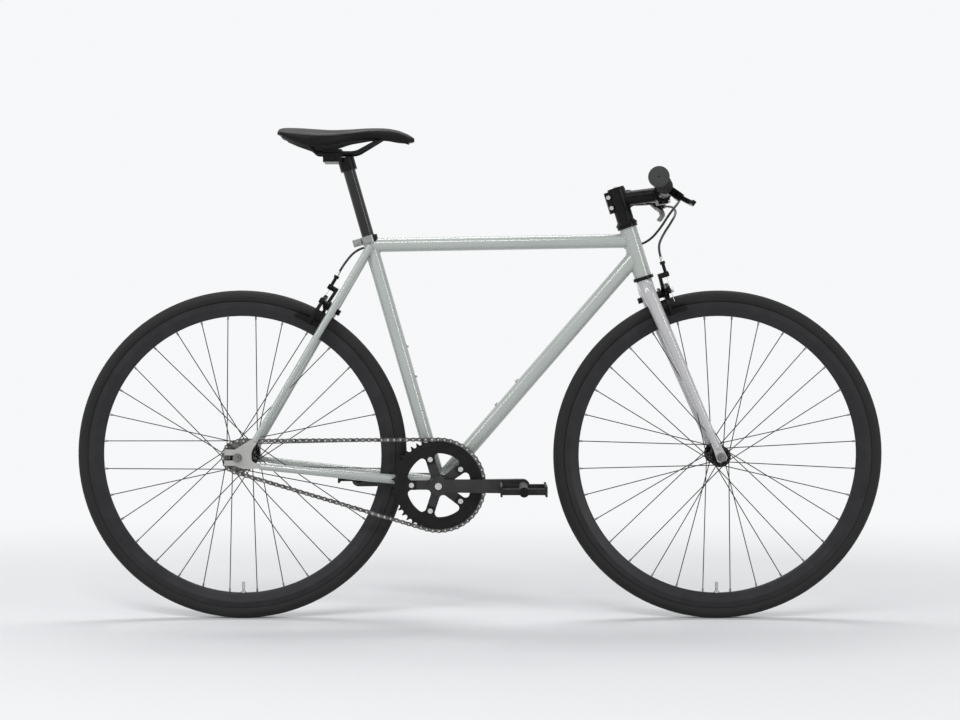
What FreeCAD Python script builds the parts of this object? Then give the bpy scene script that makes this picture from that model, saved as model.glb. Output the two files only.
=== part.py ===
import FreeCAD, Part
import math
import os

from FreeCAD import Placement, Rotation, Vector

# A fixed gear bicycle in millimetres: +X forward, +Y to the rider's left, +Z up.
# The origin is on the ground, midway between the two axles.

# Layout of the bicycle
WHEELBASE = 976.0
BB_DROP = 57.5
SEAT_ANGLE = 74.0
HEAD_ANGLE = 72.5
FORK_RAKE = 37.3
SEAT_TUBE_LENGTH = 526.0
HEAD_TUBE_LENGTH = 104.0
FRONT_BRAKE_BOLT_OVER_TYRE = 12.5
REAR_BRAKE_BOLT_OVER_TYRE = 14.5
CROWN_RACE_OVER_BRAKE_BOLT = 38.0

# Running and sliding clearances between pieces that move on each other
RUNNING_FIT = 0.05
FREE_GAP = 0.3

# Frame tubes
TUBE_WALL = 1.5
SEAT_TUBE_RADIUS = 14.3
TOP_TUBE_RADIUS = 14.3
TOP_TUBE_DROP_AT_SEAT = 19.0
TOP_TUBE_DROP_AT_HEAD = 27.4
DOWN_TUBE_RADIUS = 15.9
DOWN_TUBE_RISE_AT_HEAD = 46.1
HEAD_TUBE_RADIUS = 18.0
HEAD_TUBE_BORE = 16.5
BB_SHELL_RADIUS = 20.0
BB_SHELL_BORE = 17.0
BB_SHELL_WIDTH = 68.0
CHAIN_STAY_RADIUS = 11.0
CHAIN_STAY_TIP_RADIUS = 6.5
CHAIN_STAY_SPREAD = 19.0
SEAT_STAY_RADIUS = 8.0
SEAT_STAY_TIP_RADIUS = 6.0
SEAT_STAY_SPREAD = 13.0
SEAT_STAY_DROP = 21.0
STAY_WALL = 1.2
TAPER_BORE_SHARE = 0.82
BRIDGE_RADIUS = 6.5
LOWER_BRIDGE_RADIUS = 5.5
LOWER_BRIDGE_REACH = 58.0
CHAIN_STAY_START_OFFSET = (-6.0, 0.0, 1.0)
CHAIN_STAY_END_OFFSET = (44.0, 0.0, -17.5)
SEAT_STAY_END_OFFSET = (34.0, 0.0, 34.0)

# Rear track ends
REAR_HUB_SPACING = 120.0
TRACK_END_THICKNESS = 6.0
TRACK_SLOT_LENGTH = 29.0
TRACK_SLOT_FRONT = 8.0
TRACK_SLOT_CLEARANCE = 0.3

# Seatpost, seat clamp and bottle bolts
SEATPOST_RADIUS = 12.7
SEATPOST_WALL = 2.2
SEATPOST_INSERT = 120.0
SEATPOST_TOP = 689.0
SEAT_CLAMP_WALL = 4.2
SEAT_CLAMP_HEIGHT = 14.0
SEAT_CLAMP_EAR_LENGTH = 15.0
SEAT_CLAMP_EAR_WIDTH = 16.0
SEAT_CLAMP_SLIT = 2.0
BOTTLE_BOLT_RADIUS = 2.5
BOTTLE_BOLT_HEAD_RADIUS = 4.2
BOTTLE_BOLT_HEAD_HEIGHT = 3.0
BOTTLE_BOLT_DEPTH = 7.0
BOTTLE_BOLT_SPACING = 64.0
BOTTLE_BOLT_ON_DOWN_TUBE = 199.0
BOTTLE_BOLT_ON_SEAT_TUBE = 225.0

# Headset and steerer
STEERER_RADIUS = 14.3
STEERER_WALL = 1.8
CUP_RADIUS = 21.0
CUP_HEIGHT = 7.0
CUP_INSERT_DEPTH = 9.0
CUP_INSERT_BORE = 15.3
BEARING_RADIUS = 17.5
BEARING_HEIGHT = 6.5
TOP_COVER_RADIUS = 23.5
TOP_COVER_HEIGHT = 8.0
SPACER_RADIUS = 17.5
SPACER_HEIGHT = 11.0
SPACER_COUNT = 2
TOP_CAP_HEIGHT = 4.0

# Fork
BLADE_TOP_SPREAD = 31.0
BLADE_TOP_RADIUS = 14.2
BLADE_TIP_RADIUS = 7.0
BLADE_WALL = 1.5
CROWN_BOSS_RADIUS = 16.5
CROWN_BOSS_BELOW_BOLT = 7.0
FRONT_HUB_SPACING = 100.0
FORK_END_THICKNESS = 5.0
FORK_END_HEIGHT = 42.0
FORK_END_HALF_WIDTH = 11.0
FORK_SLOT_CLEARANCE = 0.3

# Stem and handlebar
STEM_CLAMP_HEIGHT = 44.0
STEM_CLAMP_RADIUS = 18.5
STEM_CLAMP_SLIT = 2.0
STEM_LENGTH = 86.6
STEM_RISE_ANGLE = 7.3
STEM_EXTENSION_RADIUS = 14.5
STEM_EXTENSION_DROP = 20.0
BAR_CLAMP_RADIUS = 18.5
BAR_CLAMP_WIDTH = 44.0
FACE_PLATE_GAP = 2.0
FACE_PLATE_BOLT_SPREAD = 14.0
STEM_BOLT_RADIUS = 2.5
STEM_BOLT_HEAD_RADIUS = 4.2
STEM_BOLT_HEAD_HEIGHT = 5.0
BOLT_EDGE = 0.8
BAR_BOLT_WALL = 1.5
BAR_EAR_SHARE = 0.8
PINCH_BOLT_SHARES = (0.25, 0.75)
BAR_RADIUS = 12.7
BAR_GRIP_RADIUS = 11.1
BAR_WALL = 2.0
BAR_HALF_WIDTH = 280.0
BAR_BACK_SWEEP = 38.4
BAR_RISE = 10.6
BAR_STRAIGHT_HALF = 100.0
BAR_BULGE_HALF = 42.0
BAR_BULGE_TAPER = 26.0
BAR_BEND_RADIUS = 150.0
GRIP_LENGTH = 125.0
GRIP_RADIUS = 16.0
GRIP_FLANGE_RADIUS = 20.0
GRIP_FLANGE_WIDTH = 4.0
GRIP_END_CAP = 3.0

# Brake levers, in each lever's own axes: along the bar outwards, and reaching away from the bar
LEVER_CLAMP_WIDTH = 16.0
LEVER_CLAMP_RADIUS = 15.0
LEVER_TO_GRIP_GAP = 3.0
LEVER_REACH_ANGLE = 36.0
LEVER_PIVOT_OUT = 6.0
LEVER_PIVOT_REACH = 34.0
LEVER_PIN_RADIUS = 2.5
LEVER_EYE_WALL = 4.0
LEVER_CABLE_DROP = 3.0
LEVER_BODY_BACK = -20.0
LEVER_BODY_FOOT = 6.0
LEVER_BODY_WAIST = 22.0
LEVER_BLADE_BULGE = (-4.0, 8.0)
LEVER_SLOT_MARGIN = 3.0
LEVER_SLOT_REACH = 40.0
LEVER_TIP_OUT = 100.0
LEVER_TIP_REACH = 76.0
LEVER_THICKNESS = 9.0
LEVER_BLADE_WIDTH = 8.0
LEVER_FORK_WALL = 3.0
LEVER_BARREL_RADIUS = 4.5
LEVER_BARREL_LENGTH = 14.0

# Brake calipers, in each caliper's own axes: out along the bolt, across, and up away from the axle
CALIPER_BOLT_RADIUS = 3.0
CALIPER_NUT_RADIUS = 6.0
CALIPER_NUT_HEIGHT = 8.0
FRONT_CALIPER_STAND_OFF = 22.0
REAR_CALIPER_STAND_OFF = 10.0
CALIPER_BRACKET_THICKNESS = 4.5
CALIPER_ARM_THICKNESS = 6.5
CALIPER_ARM_GAP = 3.0
CALIPER_ARM_WIDTH = 11.0
CALIPER_PIVOT_ACROSS = 18.0
CALIPER_PIVOT_UP = 5.0
CALIPER_EYE_RADIUS = 9.0
CALIPER_BRACKET_HALF_WIDTH = 8.0
CALIPER_SINK_SHARE = 0.8
ARM_SHOULDER_IN = 3.0
ARM_SHOULDER_RISE = 6.0
STOP_ARM_HALF_WIDTH = 4.6
STOP_ARM_BEND = (0.62, 0.4)
CROSS_ARM_BEND = 0.12
CROSS_ARM_RISE = 8.0
CABLE_ACROSS = 24.0
CABLE_ANCHOR_UP = 2.0
CABLE_ANCHOR_RADIUS = 4.5
CABLE_ANCHOR_HEIGHT = 4.0
CABLE_ANCHOR_SHANK = 1.8
CABLE_TAIL_LENGTH = 24.0
CABLE_STOP_UP = 36.0
CABLE_STOP_RADIUS = 5.5
ADJUSTER_RADIUS = 3.5
ADJUSTER_LENGTH = 22.0
ADJUSTER_KNOB_RADIUS = 5.5
ADJUSTER_KNOB_HEIGHT = 6.0
PAD_GAP = 2.6
PAD_THICKNESS = 7.0
PAD_LENGTH = 48.0
PAD_MARGIN = 1.5
PAD_SHIFT = 10.0
PAD_HOLDER_THICKNESS = 2.5
PAD_BOLT_RADIUS = 3.0

# Wheels: tyre and rim sizes follow from the bead seat
BEAD_SEAT_RADIUS = 311.0
TYRE_HEIGHT = 26.5
TYRE_RADIUS = BEAD_SEAT_RADIUS + TYRE_HEIGHT
TYRE_WALL = 3.2
TYRE_BEAD_WIDTH = 3.3
RIM_FLANGE_HEIGHT = 3.4
RIM_FLANGE_RADIUS = BEAD_SEAT_RADIUS + RIM_FLANGE_HEIGHT
RIM_HALF_WIDTH = 10.8
RIM_FLANGE_WALL = 1.7
RIM_TRACK_DROP = 8.0
RIM_TRACK_RADIUS = BEAD_SEAT_RADIUS - RIM_TRACK_DROP
RIM_DEPTH = 18.0
RIM_INNER_RADIUS = RIM_TRACK_RADIUS - RIM_DEPTH
RIM_TIP_HALF_WIDTH = 4.5
RIM_WALL = 1.8
RIM_WELL_DEPTH = 2.5
RIM_WELL_HALF_WIDTH = 4.0
RIM_BED = 2.0
RIM_TIP_WALL = 5.0
RIM_TIP_RISE = 3.0
INNER_TUBE_WALL = 1.0
VALVE_RADIUS = 3.0
VALVE_HOLE_CLEARANCE = 0.3
VALVE_LENGTH = 22.0
VALVE_NUT_RADIUS = 6.0
VALVE_NUT_HEIGHT = 2.5
VALVE_CAP_RADIUS = 3.4
VALVE_CAP_LENGTH = 9.0
SPOKES_PER_WHEEL = 32
SPOKE_CROSSES = 3
SPOKE_RADIUS = 1.0
SPOKE_HOLE_CLEARANCE = 0.3
SPOKE_FLANGE_GAP = 0.1
SPOKE_LIFT = 2.1
SPOKE_HEAD_RADIUS = 1.9
SPOKE_HEAD_HEIGHT = 1.2
NIPPLE_RADIUS = 2.0
NIPPLE_LENGTH = 12.0
NIPPLE_HEAD_RADIUS = 2.6
NIPPLE_HEAD_LENGTH = 2.5
NIPPLE_CLEARANCE = 0.1
NIPPLE_SEAT_LIFT = 0.6
FLANGE_THICKNESS = 3.0
FRONT_FLANGE_RADIUS = 22.0
FRONT_FLANGE_SPREAD = 34.0
FRONT_HUB_RADIUS = 13.0
REAR_FLANGE_RADIUS = 31.0
REAR_FLANGE_SPREAD = 33.0
REAR_HUB_RADIUS = 16.0
FLANGE_RIM = 4.0
HUB_END_LENGTH = 4.0
HUB_SHOULDER = 1.5
FRONT_AXLE_RADIUS = 4.5
FRONT_AXLE_STUB_RADIUS = 4.0
REAR_AXLE_RADIUS = 5.0
REAR_AXLE_STUB_RADIUS = 4.5
AXLE_STUB_LENGTH = 6.0
AXLE_NUT_HEIGHT = 9.0
AXLE_NUT_ACROSS_FLATS = 15.0
AXLE_WASHER_RADIUS = 9.0
AXLE_WASHER_THICKNESS = 1.5
LOCK_NUT_RADIUS = 8.0
FRONT_BEARING_RADIUS = 11.0
REAR_BEARING_RADIUS = 13.5
HUB_BEARING_WIDTH = 8.0
END_GAP = 0.5
AXLE_TO_FRONT_BRAKE_BOLT = TYRE_RADIUS + FRONT_BRAKE_BOLT_OVER_TYRE
AXLE_TO_REAR_BRAKE_BOLT = TYRE_RADIUS + REAR_BRAKE_BOLT_OVER_TYRE
AXLE_TO_CROWN_RACE = AXLE_TO_FRONT_BRAKE_BOLT + CROWN_RACE_OVER_BRAKE_BOLT

# Drive
CHAIN_PITCH = 12.7
CHAIN_LINKS = 96
CHAIN_SEARCH_SHARES = (0.9, 1.2)
RING_TEETH = 46
COG_TEETH = 16
CHAIN_LINE = 45.0
TOOTH_THICKNESS = 2.9
TOOTH_TIP_HEIGHT = 3.1
TOOTH_TIP_HALF_WIDTH = 0.9
ROLLER_RADIUS = 3.85
ROLLER_SEAT_CLEARANCE = 0.2
ROLLER_SEAT_ANGLE = 65.0
INNER_PLATE_GAP = 3.3
PLATE_THICKNESS = 1.1
PLATE_CLEARANCE = 0.06
PLATE_RADIUS = 4.1
PLATE_WAIST = 3.0
PIN_RADIUS = 1.75
PIN_STICK_OUT = 0.45
WINDOW_RADIUS = 65.0
RING_BOLT_CIRCLE_RADIUS = 55.0
RING_BOLT_RADIUS = 4.0
RING_BOLT_HEAD_RADIUS = 5.2
RING_BOLT_HEAD_HEIGHT = 1.6
SPIDER_ARMS = 5
SPIDER_THICKNESS = 5.0
SPIDER_ARM_HALF_WIDTH = 9.5
SPIDER_RADIUS = 63.0
WINDOW_CORNER = 8.0
RING_BORE_RADIUS = 46.0
COG_HUB_RADIUS = 17.5
COG_SHOULDER_RADIUS = 20.0
LOCK_RING_RADIUS = 20.0
LOCK_RING_THICKNESS = 3.5
CRANK_LENGTH = 170.0
CRANK_BOSS_RADIUS = 19.0
CRANK_ARM_INSET = 52.0
CRANK_ARM_THICKNESS = 12.0
CRANK_ROOT_HALF_HEIGHT = 12.5
CRANK_TIP_HALF_HEIGHT = 14.5
SPINDLE_RADIUS = 8.5
CUP_FLANGE_RADIUS = 19.5
CUP_FLANGE_THICKNESS = 3.0
BB_CUP_DEPTH = 14.0
BB_BEARING_RADIUS = 14.0
BB_BEARING_WIDTH = 9.0
CRANK_TO_CUP_GAP = 1.0
CRANK_BOLT_RADIUS = 7.0
CRANK_BOLT_HEIGHT = 2.0
PEDAL_AXLE_RADIUS = 5.0
PEDAL_THREAD_RADIUS = 7.0
PEDAL_COLLAR_RADIUS = 8.0
PEDAL_COLLAR_LENGTH = 4.0
PEDAL_BODY_RADIUS = 10.0
PEDAL_BODY_LENGTH = 92.0
PEDAL_HALF_LENGTH = 46.0
PEDAL_HALF_HEIGHT = 10.0
PEDAL_CAGE_WALL = 4.0
PEDAL_RIB_WIDTH = 8.0
PEDAL_RIB_HALF_HEIGHT = 6.0
PEDAL_END_NUT_RADIUS = 7.5
PEDAL_END_NUT_LENGTH = 3.5

# Saddle, measured from the top of the seatpost's middle line
RAIL_RADIUS = 3.5
RAIL_SPREAD = 22.0
RAIL_HEIGHT = 11.0
CLAMP_X = -25.0
CLAMP_HALF_LENGTH = 19.0
CLAMP_HALF_WIDTH = 29.0
CLAMP_BLOCK_HEIGHT = 18.0
CLAMP_CAP_HEIGHT = 7.0
CLAMP_SPLIT = 1.0
CLAMP_RING_RADIUS = 17.0
CLAMP_RING_HEIGHT = 24.0
CLAMP_BOLT_RADIUS = 4.0
CLAMP_BOLT_DROP = 10.0
CLAMP_BOLT_HEAD_RADIUS = 6.0
CLAMP_BOLT_HEAD_HEIGHT = 4.0
CLAMP_RING_LID = 3.0
RAIL_REAR_X = -60.0
RAIL_FRONT_X = 22.0
RAIL_REAR_END = (-82.0, 34.0)
RAIL_FRONT_END = (74.0, 12.0)
RAIL_REAR_BEND = 12.0
RAIL_FRONT_BEND = 40.0
SADDLE_BASE_THICKNESS = 3.0
SADDLE_BASE_INSET = 6.0
SADDLE_FOAM = 16.0
SADDLE_LEAST_ARCH = 1.5
SADDLE_TUCK = 5.0
SADDLE_CROWN_START = 3.0
SADDLE_CROWN_SHARE = 0.14
SADDLE_SHOULDER_SHARE = 0.88

# Saddle stations from the tail to the nose: place along X, half width, top height, skirt height
SADDLE_STATIONS = ((-134.0, 38.0, 57.0, 47.0), (-124.0, 58.0, 62.0, 42.0), (-104.0, 69.0, 63.0, 32.0),
                   (-66.0, 72.0, 61.0, 16.0), (-27.0, 58.0, 59.0, 23.0), (9.0, 40.0, 60.5, 32.0),
                   (49.0, 28.0, 63.0, 36.0), (84.0, 23.0, 62.5, 33.0), (109.0, 20.0, 58.0, 28.0),
                   (129.0, 15.0, 50.0, 30.0), (140.0, 8.0, 43.0, 34.0))

# Cables
CABLE_RADIUS = 2.5
WIRE_RADIUS = 0.8
FERRULE_RADIUS = 3.2
FERRULE_LENGTH = 10.0
GUIDE_WALL = 1.5
GUIDE_LENGTH = 9.0
GUIDE_SHARES = (0.26, 0.5, 0.74)
GUIDE_ANGLE = 20.0
CABLE_BEND_SHARE = 0.45
CABLE_LEAVE = 25.0
CABLE_LEAD = 20.0

# Places the cables pass: below the bar's middle, then along the top tube, then about the tube's rear end
FRONT_CABLE_ROUTE = ((34, 55, -24), (34, 18, -38), (20, -6, -59), (2, -20, -84))
REAR_CABLE_FROM_LEVER = ((25, -55, -26), (14, -22, -43), (0, 2, -69), (-18, 22, -92), (-42, 32, -104))
CABLE_RUN_SHARES = (0.14, 0.86)
REAR_CABLE_TO_BRAKE = ((32, 24, -1), (-2, 28, 0), (-33, 27.5, -9))

ORIGIN = Vector(0, 0, 0)
ALONG_X = Vector(1, 0, 0)
ALONG_Y = Vector(0, 1, 0)
ALONG_Z = Vector(0, 0, 1)
SIDES = (-1, 1)
NODES = {}


# Small shape helpers
def add(node, *solids):
    NODES.setdefault(node, []).extend(solids)


def unit(vector):
    return Vector(vector).normalize()


def between(start, end, share):
    return start + (end - start) * share


def rod(start, end, radius):
    return Part.makeCylinder(radius, (end - start).Length, start, end - start)


def sleeve(start, end, outer, inner):
    return rod(start, end, outer).cut(rod(start, end, inner))


def taper(start, end, start_radius, end_radius):
    length = (end - start).Length
    if abs(start_radius - end_radius) < 1e-6:
        return rod(start, end, start_radius)
    return Part.makeCone(start_radius, end_radius, length, start, end - start)


def hollow_taper(start, end, start_radius, end_radius, wall):
    """A tapered tube whose bore stops short of its closed end."""
    outer = taper(start, end, start_radius, end_radius)
    bore_radius = start_radius + (end_radius - start_radius) * TAPER_BORE_SHARE - wall
    return outer.cut(taper(start, between(start, end, TAPER_BORE_SHARE), start_radius - wall, bore_radius))


def hexagon(start, end, across_flats):
    axis = unit(end - start)
    spoke = axis.cross(ALONG_X if abs(axis.x) < 0.9 else ALONG_Z).normalize()
    spoke = spoke * (across_flats / math.sqrt(3))
    corners = [start + Rotation(axis, 60 * step).multVec(spoke) for step in range(7)]
    return Part.Face(Part.makePolygon(corners)).extrude(end - start)


def block(low, high):
    size = high - low
    return Part.makeBox(size.x, size.y, size.z, low)


def joined(first, *others):
    return first.fuse(list(others)).removeSplitter().Solids[0]


def trimmed(shape, *cutters):
    return max(shape.cut(list(cutters)).Solids, key=lambda solid: solid.Volume)


def outline(at, start, *moves):
    """A closed face; a move is a point, or a pair of points for an arc through the first to the second."""
    edges = []
    here = start
    for move in moves:
        if isinstance(move[0], tuple):
            through, end = move
            edges.append(Part.Arc(at(*here), at(*through), at(*end)).toShape())
        else:
            end = move
            edges.append(Part.LineSegment(at(*here), at(*end)).toShape())
        here = end
    if at(*here).distanceToPoint(at(*start)) > 1e-6:
        edges.append(Part.LineSegment(at(*here), at(*start)).toShape())
    return Part.Face(Part.Wire(edges))


def turned(centre, start, *moves):
    """A ring about a wheel's axle from an outline of (radius, across) points."""
    face = outline(lambda radius, across: Vector(radius, across, 0), start, *moves)
    solid = face.revolve(ORIGIN, ALONG_Y, 360)
    solid.translate(centre)
    return solid


def bent_path(points, radii):
    """Straight runs joined by tangent arcs, one radius for each inner point."""
    edges = []
    here = points[0]
    for before, corner, after, radius in zip(points, points[1:], points[2:], radii):
        inward = unit(before - corner)
        outward = unit(after - corner)
        half_angle = inward.getAngle(outward) / 2
        leg = radius / math.tan(half_angle)
        arc_start = corner + inward * leg
        arc_end = corner + outward * leg
        middle = corner + unit(inward + outward) * (radius / math.sin(half_angle) - radius)
        edges.append(Part.LineSegment(here, arc_start).toShape())
        edges.append(Part.Arc(arc_start, middle, arc_end).toShape())
        here = arc_end
    edges.append(Part.LineSegment(here, points[-1]).toShape())
    return Part.Wire(edges)


def bent_rod(path, radius):
    first = path.Edges[0]
    ring = Part.makeCircle(radius, first.valueAt(first.FirstParameter), first.tangentAt(first.FirstParameter))
    return path.makePipeShell([Part.Wire(ring)], True, False).Solids[0]


def placed(shape, origin, out, up):
    """Move a shape from its own axes (X out, Z up) to their place on the bicycle."""
    copy = shape.copy()
    across = up.cross(out)
    turn = FreeCAD.Matrix(out.x, across.x, up.x, origin.x,
                          out.y, across.y, up.y, origin.y,
                          out.z, across.z, up.z, origin.z,
                          0, 0, 0, 1)
    copy.Placement = Placement(turn)
    return copy


# Chain closure: the centre distance at which the whole number of links just fits
def pitch_radius(teeth):
    return CHAIN_PITCH / (2 * math.sin(math.pi / teeth))


RING_PITCH_RADIUS = pitch_radius(RING_TEETH)
COG_PITCH_RADIUS = pitch_radius(COG_TEETH)


def chain_walk(centre_distance):
    """Pin places in chain axes: ring centre at 0, cog centre behind it; also the gap left at the end."""
    tilt = math.asin((RING_PITCH_RADIUS - COG_PITCH_RADIUS) / centre_distance)
    run = centre_distance * math.cos(tilt)
    ring_wrap = RING_PITCH_RADIUS * (math.pi + 2 * tilt)
    cog_wrap = COG_PITCH_RADIUS * (math.pi - 2 * tilt)
    total = ring_wrap + cog_wrap + 2 * run

    def place(distance):
        """A point of the pitch line, measured from the top tangent point of the ring, going forward."""
        distance = distance % total
        top = math.pi / 2 + tilt
        if distance <= ring_wrap:
            angle = top - distance / RING_PITCH_RADIUS
            return (RING_PITCH_RADIUS * math.cos(angle), RING_PITCH_RADIUS * math.sin(angle))
        distance -= ring_wrap
        if distance <= run:
            start = (RING_PITCH_RADIUS * math.cos(top), -RING_PITCH_RADIUS * math.sin(top))
            return (start[0] - distance * math.cos(tilt), start[1] + distance * math.sin(tilt))
        distance -= run
        if distance <= cog_wrap:
            angle = -top - distance / COG_PITCH_RADIUS
            return (COG_PITCH_RADIUS * math.cos(angle) - centre_distance, COG_PITCH_RADIUS * math.sin(angle))
        distance -= cog_wrap
        start = (COG_PITCH_RADIUS * math.cos(top) - centre_distance, COG_PITCH_RADIUS * math.sin(top))
        return (start[0] + distance * math.cos(tilt), start[1] + distance * math.sin(tilt))

    reach = 0.0
    pins = [place(reach)]
    for _ in range(CHAIN_LINKS):
        low, high = [reach + CHAIN_PITCH * share for share in CHAIN_SEARCH_SHARES]
        for _ in range(40):
            middle = (low + high) / 2
            if math.dist(place(middle), pins[-1]) < CHAIN_PITCH:
                low = middle
            else:
                high = middle
        reach = high
        pins.append(place(reach))
    return pins[:-1], total - reach


def closing_distance():
    even = (CHAIN_LINKS - (RING_TEETH + COG_TEETH) / 2) * CHAIN_PITCH / 2
    low, high = [even * share for share in CHAIN_SEARCH_SHARES]
    for _ in range(50):
        middle = (low + high) / 2
        if chain_walk(middle)[1] < 0:
            low = middle
        else:
            high = middle
    return high


CHAIN_STAY_DISTANCE = closing_distance()

# Main points and directions
REAR_AXLE = Vector(-WHEELBASE / 2, 0, TYRE_RADIUS)
FRONT_AXLE = Vector(WHEELBASE / 2, 0, TYRE_RADIUS)
BB = REAR_AXLE + Vector(math.sqrt(CHAIN_STAY_DISTANCE ** 2 - BB_DROP ** 2), 0, -BB_DROP)
SEAT_UP = Vector(-math.cos(math.radians(SEAT_ANGLE)), 0, math.sin(math.radians(SEAT_ANGLE)))
STEER_UP = Vector(-math.cos(math.radians(HEAD_ANGLE)), 0, math.sin(math.radians(HEAD_ANGLE)))
STEER_OUT = ALONG_Y.cross(STEER_UP)
STEER_FOOT = FRONT_AXLE - STEER_OUT * FORK_RAKE


def on_steerer(height):
    return STEER_FOOT + STEER_UP * height


def on_seat_tube(height):
    return BB + SEAT_UP * height


LOWER_CUP_BOTTOM = AXLE_TO_CROWN_RACE + FREE_GAP
HEAD_BOTTOM = LOWER_CUP_BOTTOM + CUP_HEIGHT
HEAD_TOP = HEAD_BOTTOM + HEAD_TUBE_LENGTH
UPPER_CUP_TOP = HEAD_TOP + CUP_HEIGHT
COVER_TOP = UPPER_CUP_TOP + FREE_GAP + TOP_COVER_HEIGHT
STEM_BOTTOM = COVER_TOP + SPACER_HEIGHT * SPACER_COUNT
STEM_TOP = STEM_BOTTOM + STEM_CLAMP_HEIGHT
TOP_TUBE_REAR = on_seat_tube(SEAT_TUBE_LENGTH - TOP_TUBE_DROP_AT_SEAT)
TOP_TUBE_FRONT = on_steerer(HEAD_TOP - TOP_TUBE_DROP_AT_HEAD)

# Rear triangle points, given from the rear axle and the bottom bracket
TRACK_END_INNER = REAR_HUB_SPACING / 2
TRACK_END_OUTER = TRACK_END_INNER + TRACK_END_THICKNESS
TRACK_END_MIDDLE = (TRACK_END_INNER + TRACK_END_OUTER) / 2
CHAIN_STAY_START = BB + Vector(*CHAIN_STAY_START_OFFSET)
CHAIN_STAY_END = REAR_AXLE + Vector(*CHAIN_STAY_END_OFFSET)
SEAT_STAY_START = on_seat_tube(SEAT_TUBE_LENGTH - SEAT_STAY_DROP)
SEAT_STAY_END = REAR_AXLE + Vector(*SEAT_STAY_END_OFFSET)
REAR_BRAKE_UP = unit(SEAT_STAY_START - SEAT_STAY_END)
REAR_BRAKE_OUT = REAR_BRAKE_UP.cross(ALONG_Y)


def rear_brake_bolt():
    """The point of the stays' middle line at the brake's distance from the axle."""
    low = 0.0
    high = AXLE_TO_REAR_BRAKE_BOLT * 2
    for _ in range(50):
        reach = (low + high) / 2
        if (SEAT_STAY_END + REAR_BRAKE_UP * reach - REAR_AXLE).Length < AXLE_TO_REAR_BRAKE_BOLT:
            low = reach
        else:
            high = reach
    return SEAT_STAY_END + REAR_BRAKE_UP * low


REAR_BRAKE_BOLT = rear_brake_bolt()
FRONT_BRAKE_BOLT = on_steerer(AXLE_TO_FRONT_BRAKE_BOLT)


# Frame tubes, mitred where they meet
def y_rod(centre, radius, half_width):
    return rod(centre - ALONG_Y * half_width, centre + ALONG_Y * half_width, radius)


def y_sleeve(centre, inner_end, outer_end, outer, inner):
    return sleeve(centre + ALONG_Y * inner_end, centre + ALONG_Y * outer_end, outer, inner)


def bottle_bolts(start, direction, outward, tube_radius, first):
    bolts = []
    for step in (0, 1):
        surface = start + direction * (first + step * BOTTLE_BOLT_SPACING) + outward * tube_radius
        head = rod(surface, surface + outward * BOTTLE_BOLT_HEAD_HEIGHT, BOTTLE_BOLT_HEAD_RADIUS)
        shank = rod(surface - outward * BOTTLE_BOLT_DEPTH, surface, BOTTLE_BOLT_RADIUS)
        bolts.append(joined(head, shank))
    return bolts


def build_main_frame():
    seat_top = on_seat_tube(SEAT_TUBE_LENGTH)
    bb_envelope = y_rod(BB, BB_SHELL_RADIUS, BB_SHELL_WIDTH / 2)
    seat_envelope = rod(BB, seat_top, SEAT_TUBE_RADIUS)
    head_envelope = rod(on_steerer(HEAD_BOTTOM), on_steerer(HEAD_TOP), HEAD_TUBE_RADIUS)
    top_envelope = rod(TOP_TUBE_REAR, TOP_TUBE_FRONT, TOP_TUBE_RADIUS)
    down_tube_front = on_steerer(HEAD_BOTTOM + DOWN_TUBE_RISE_AT_HEAD)
    down_direction = unit(down_tube_front - BB)
    down_bolts = bottle_bolts(BB, down_direction, down_direction.cross(ALONG_Y), DOWN_TUBE_RADIUS,
                              BOTTLE_BOLT_ON_DOWN_TUBE)
    seat_bolts = bottle_bolts(BB, SEAT_UP, ALONG_Y.cross(SEAT_UP), SEAT_TUBE_RADIUS, BOTTLE_BOLT_ON_SEAT_TUBE)
    add("frame_fittings", *down_bolts, *seat_bolts)

    add("head_tube", head_envelope.cut(rod(on_steerer(HEAD_BOTTOM), on_steerer(HEAD_TOP), HEAD_TUBE_BORE)))
    add("bottom_bracket_shell", bb_envelope.cut(y_rod(BB, BB_SHELL_BORE, BB_SHELL_WIDTH / 2)))
    post_bore = rod(BB, seat_top, SEATPOST_RADIUS + RUNNING_FIT)
    add("seat_tube", trimmed(seat_envelope, post_bore, bb_envelope, *seat_bolts))
    top_tube = sleeve(TOP_TUBE_REAR, TOP_TUBE_FRONT, TOP_TUBE_RADIUS, TOP_TUBE_RADIUS - TUBE_WALL)
    add("top_tube", trimmed(top_tube, seat_envelope, head_envelope))
    down_tube = sleeve(BB, down_tube_front, DOWN_TUBE_RADIUS, DOWN_TUBE_RADIUS - TUBE_WALL)
    add("down_tube", trimmed(down_tube, bb_envelope, seat_envelope, head_envelope, *down_bolts))
    build_rear_triangle(bb_envelope, seat_envelope, top_envelope)


def track_end(side):
    """A flat end plate with a slot open to the rear, for the axle to slide in."""
    half_slot = REAR_AXLE_RADIUS + TRACK_SLOT_CLEARANCE
    slot_back = TRACK_SLOT_FRONT - TRACK_SLOT_LENGTH - half_slot
    face = outline(
        lambda along, up: REAR_AXLE + Vector(along, side * TRACK_END_INNER, up),
        (slot_back, 17), (-6, 16.5), (27, 37), (40, 41), (37, 27), ((28.5, 12), (27.5, 0)),
        ((30, -7), (38, -11)), (53, -14), (51, -21), (12, -22.5), (-6, -15.5), (slot_back, -15.5),
        (slot_back, -half_slot), (TRACK_SLOT_FRONT - half_slot, -half_slot),
        ((TRACK_SLOT_FRONT, 0), (TRACK_SLOT_FRONT - half_slot, half_slot)), (slot_back, half_slot))
    return face.extrude(ALONG_Y * side * TRACK_END_THICKNESS)


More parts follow.
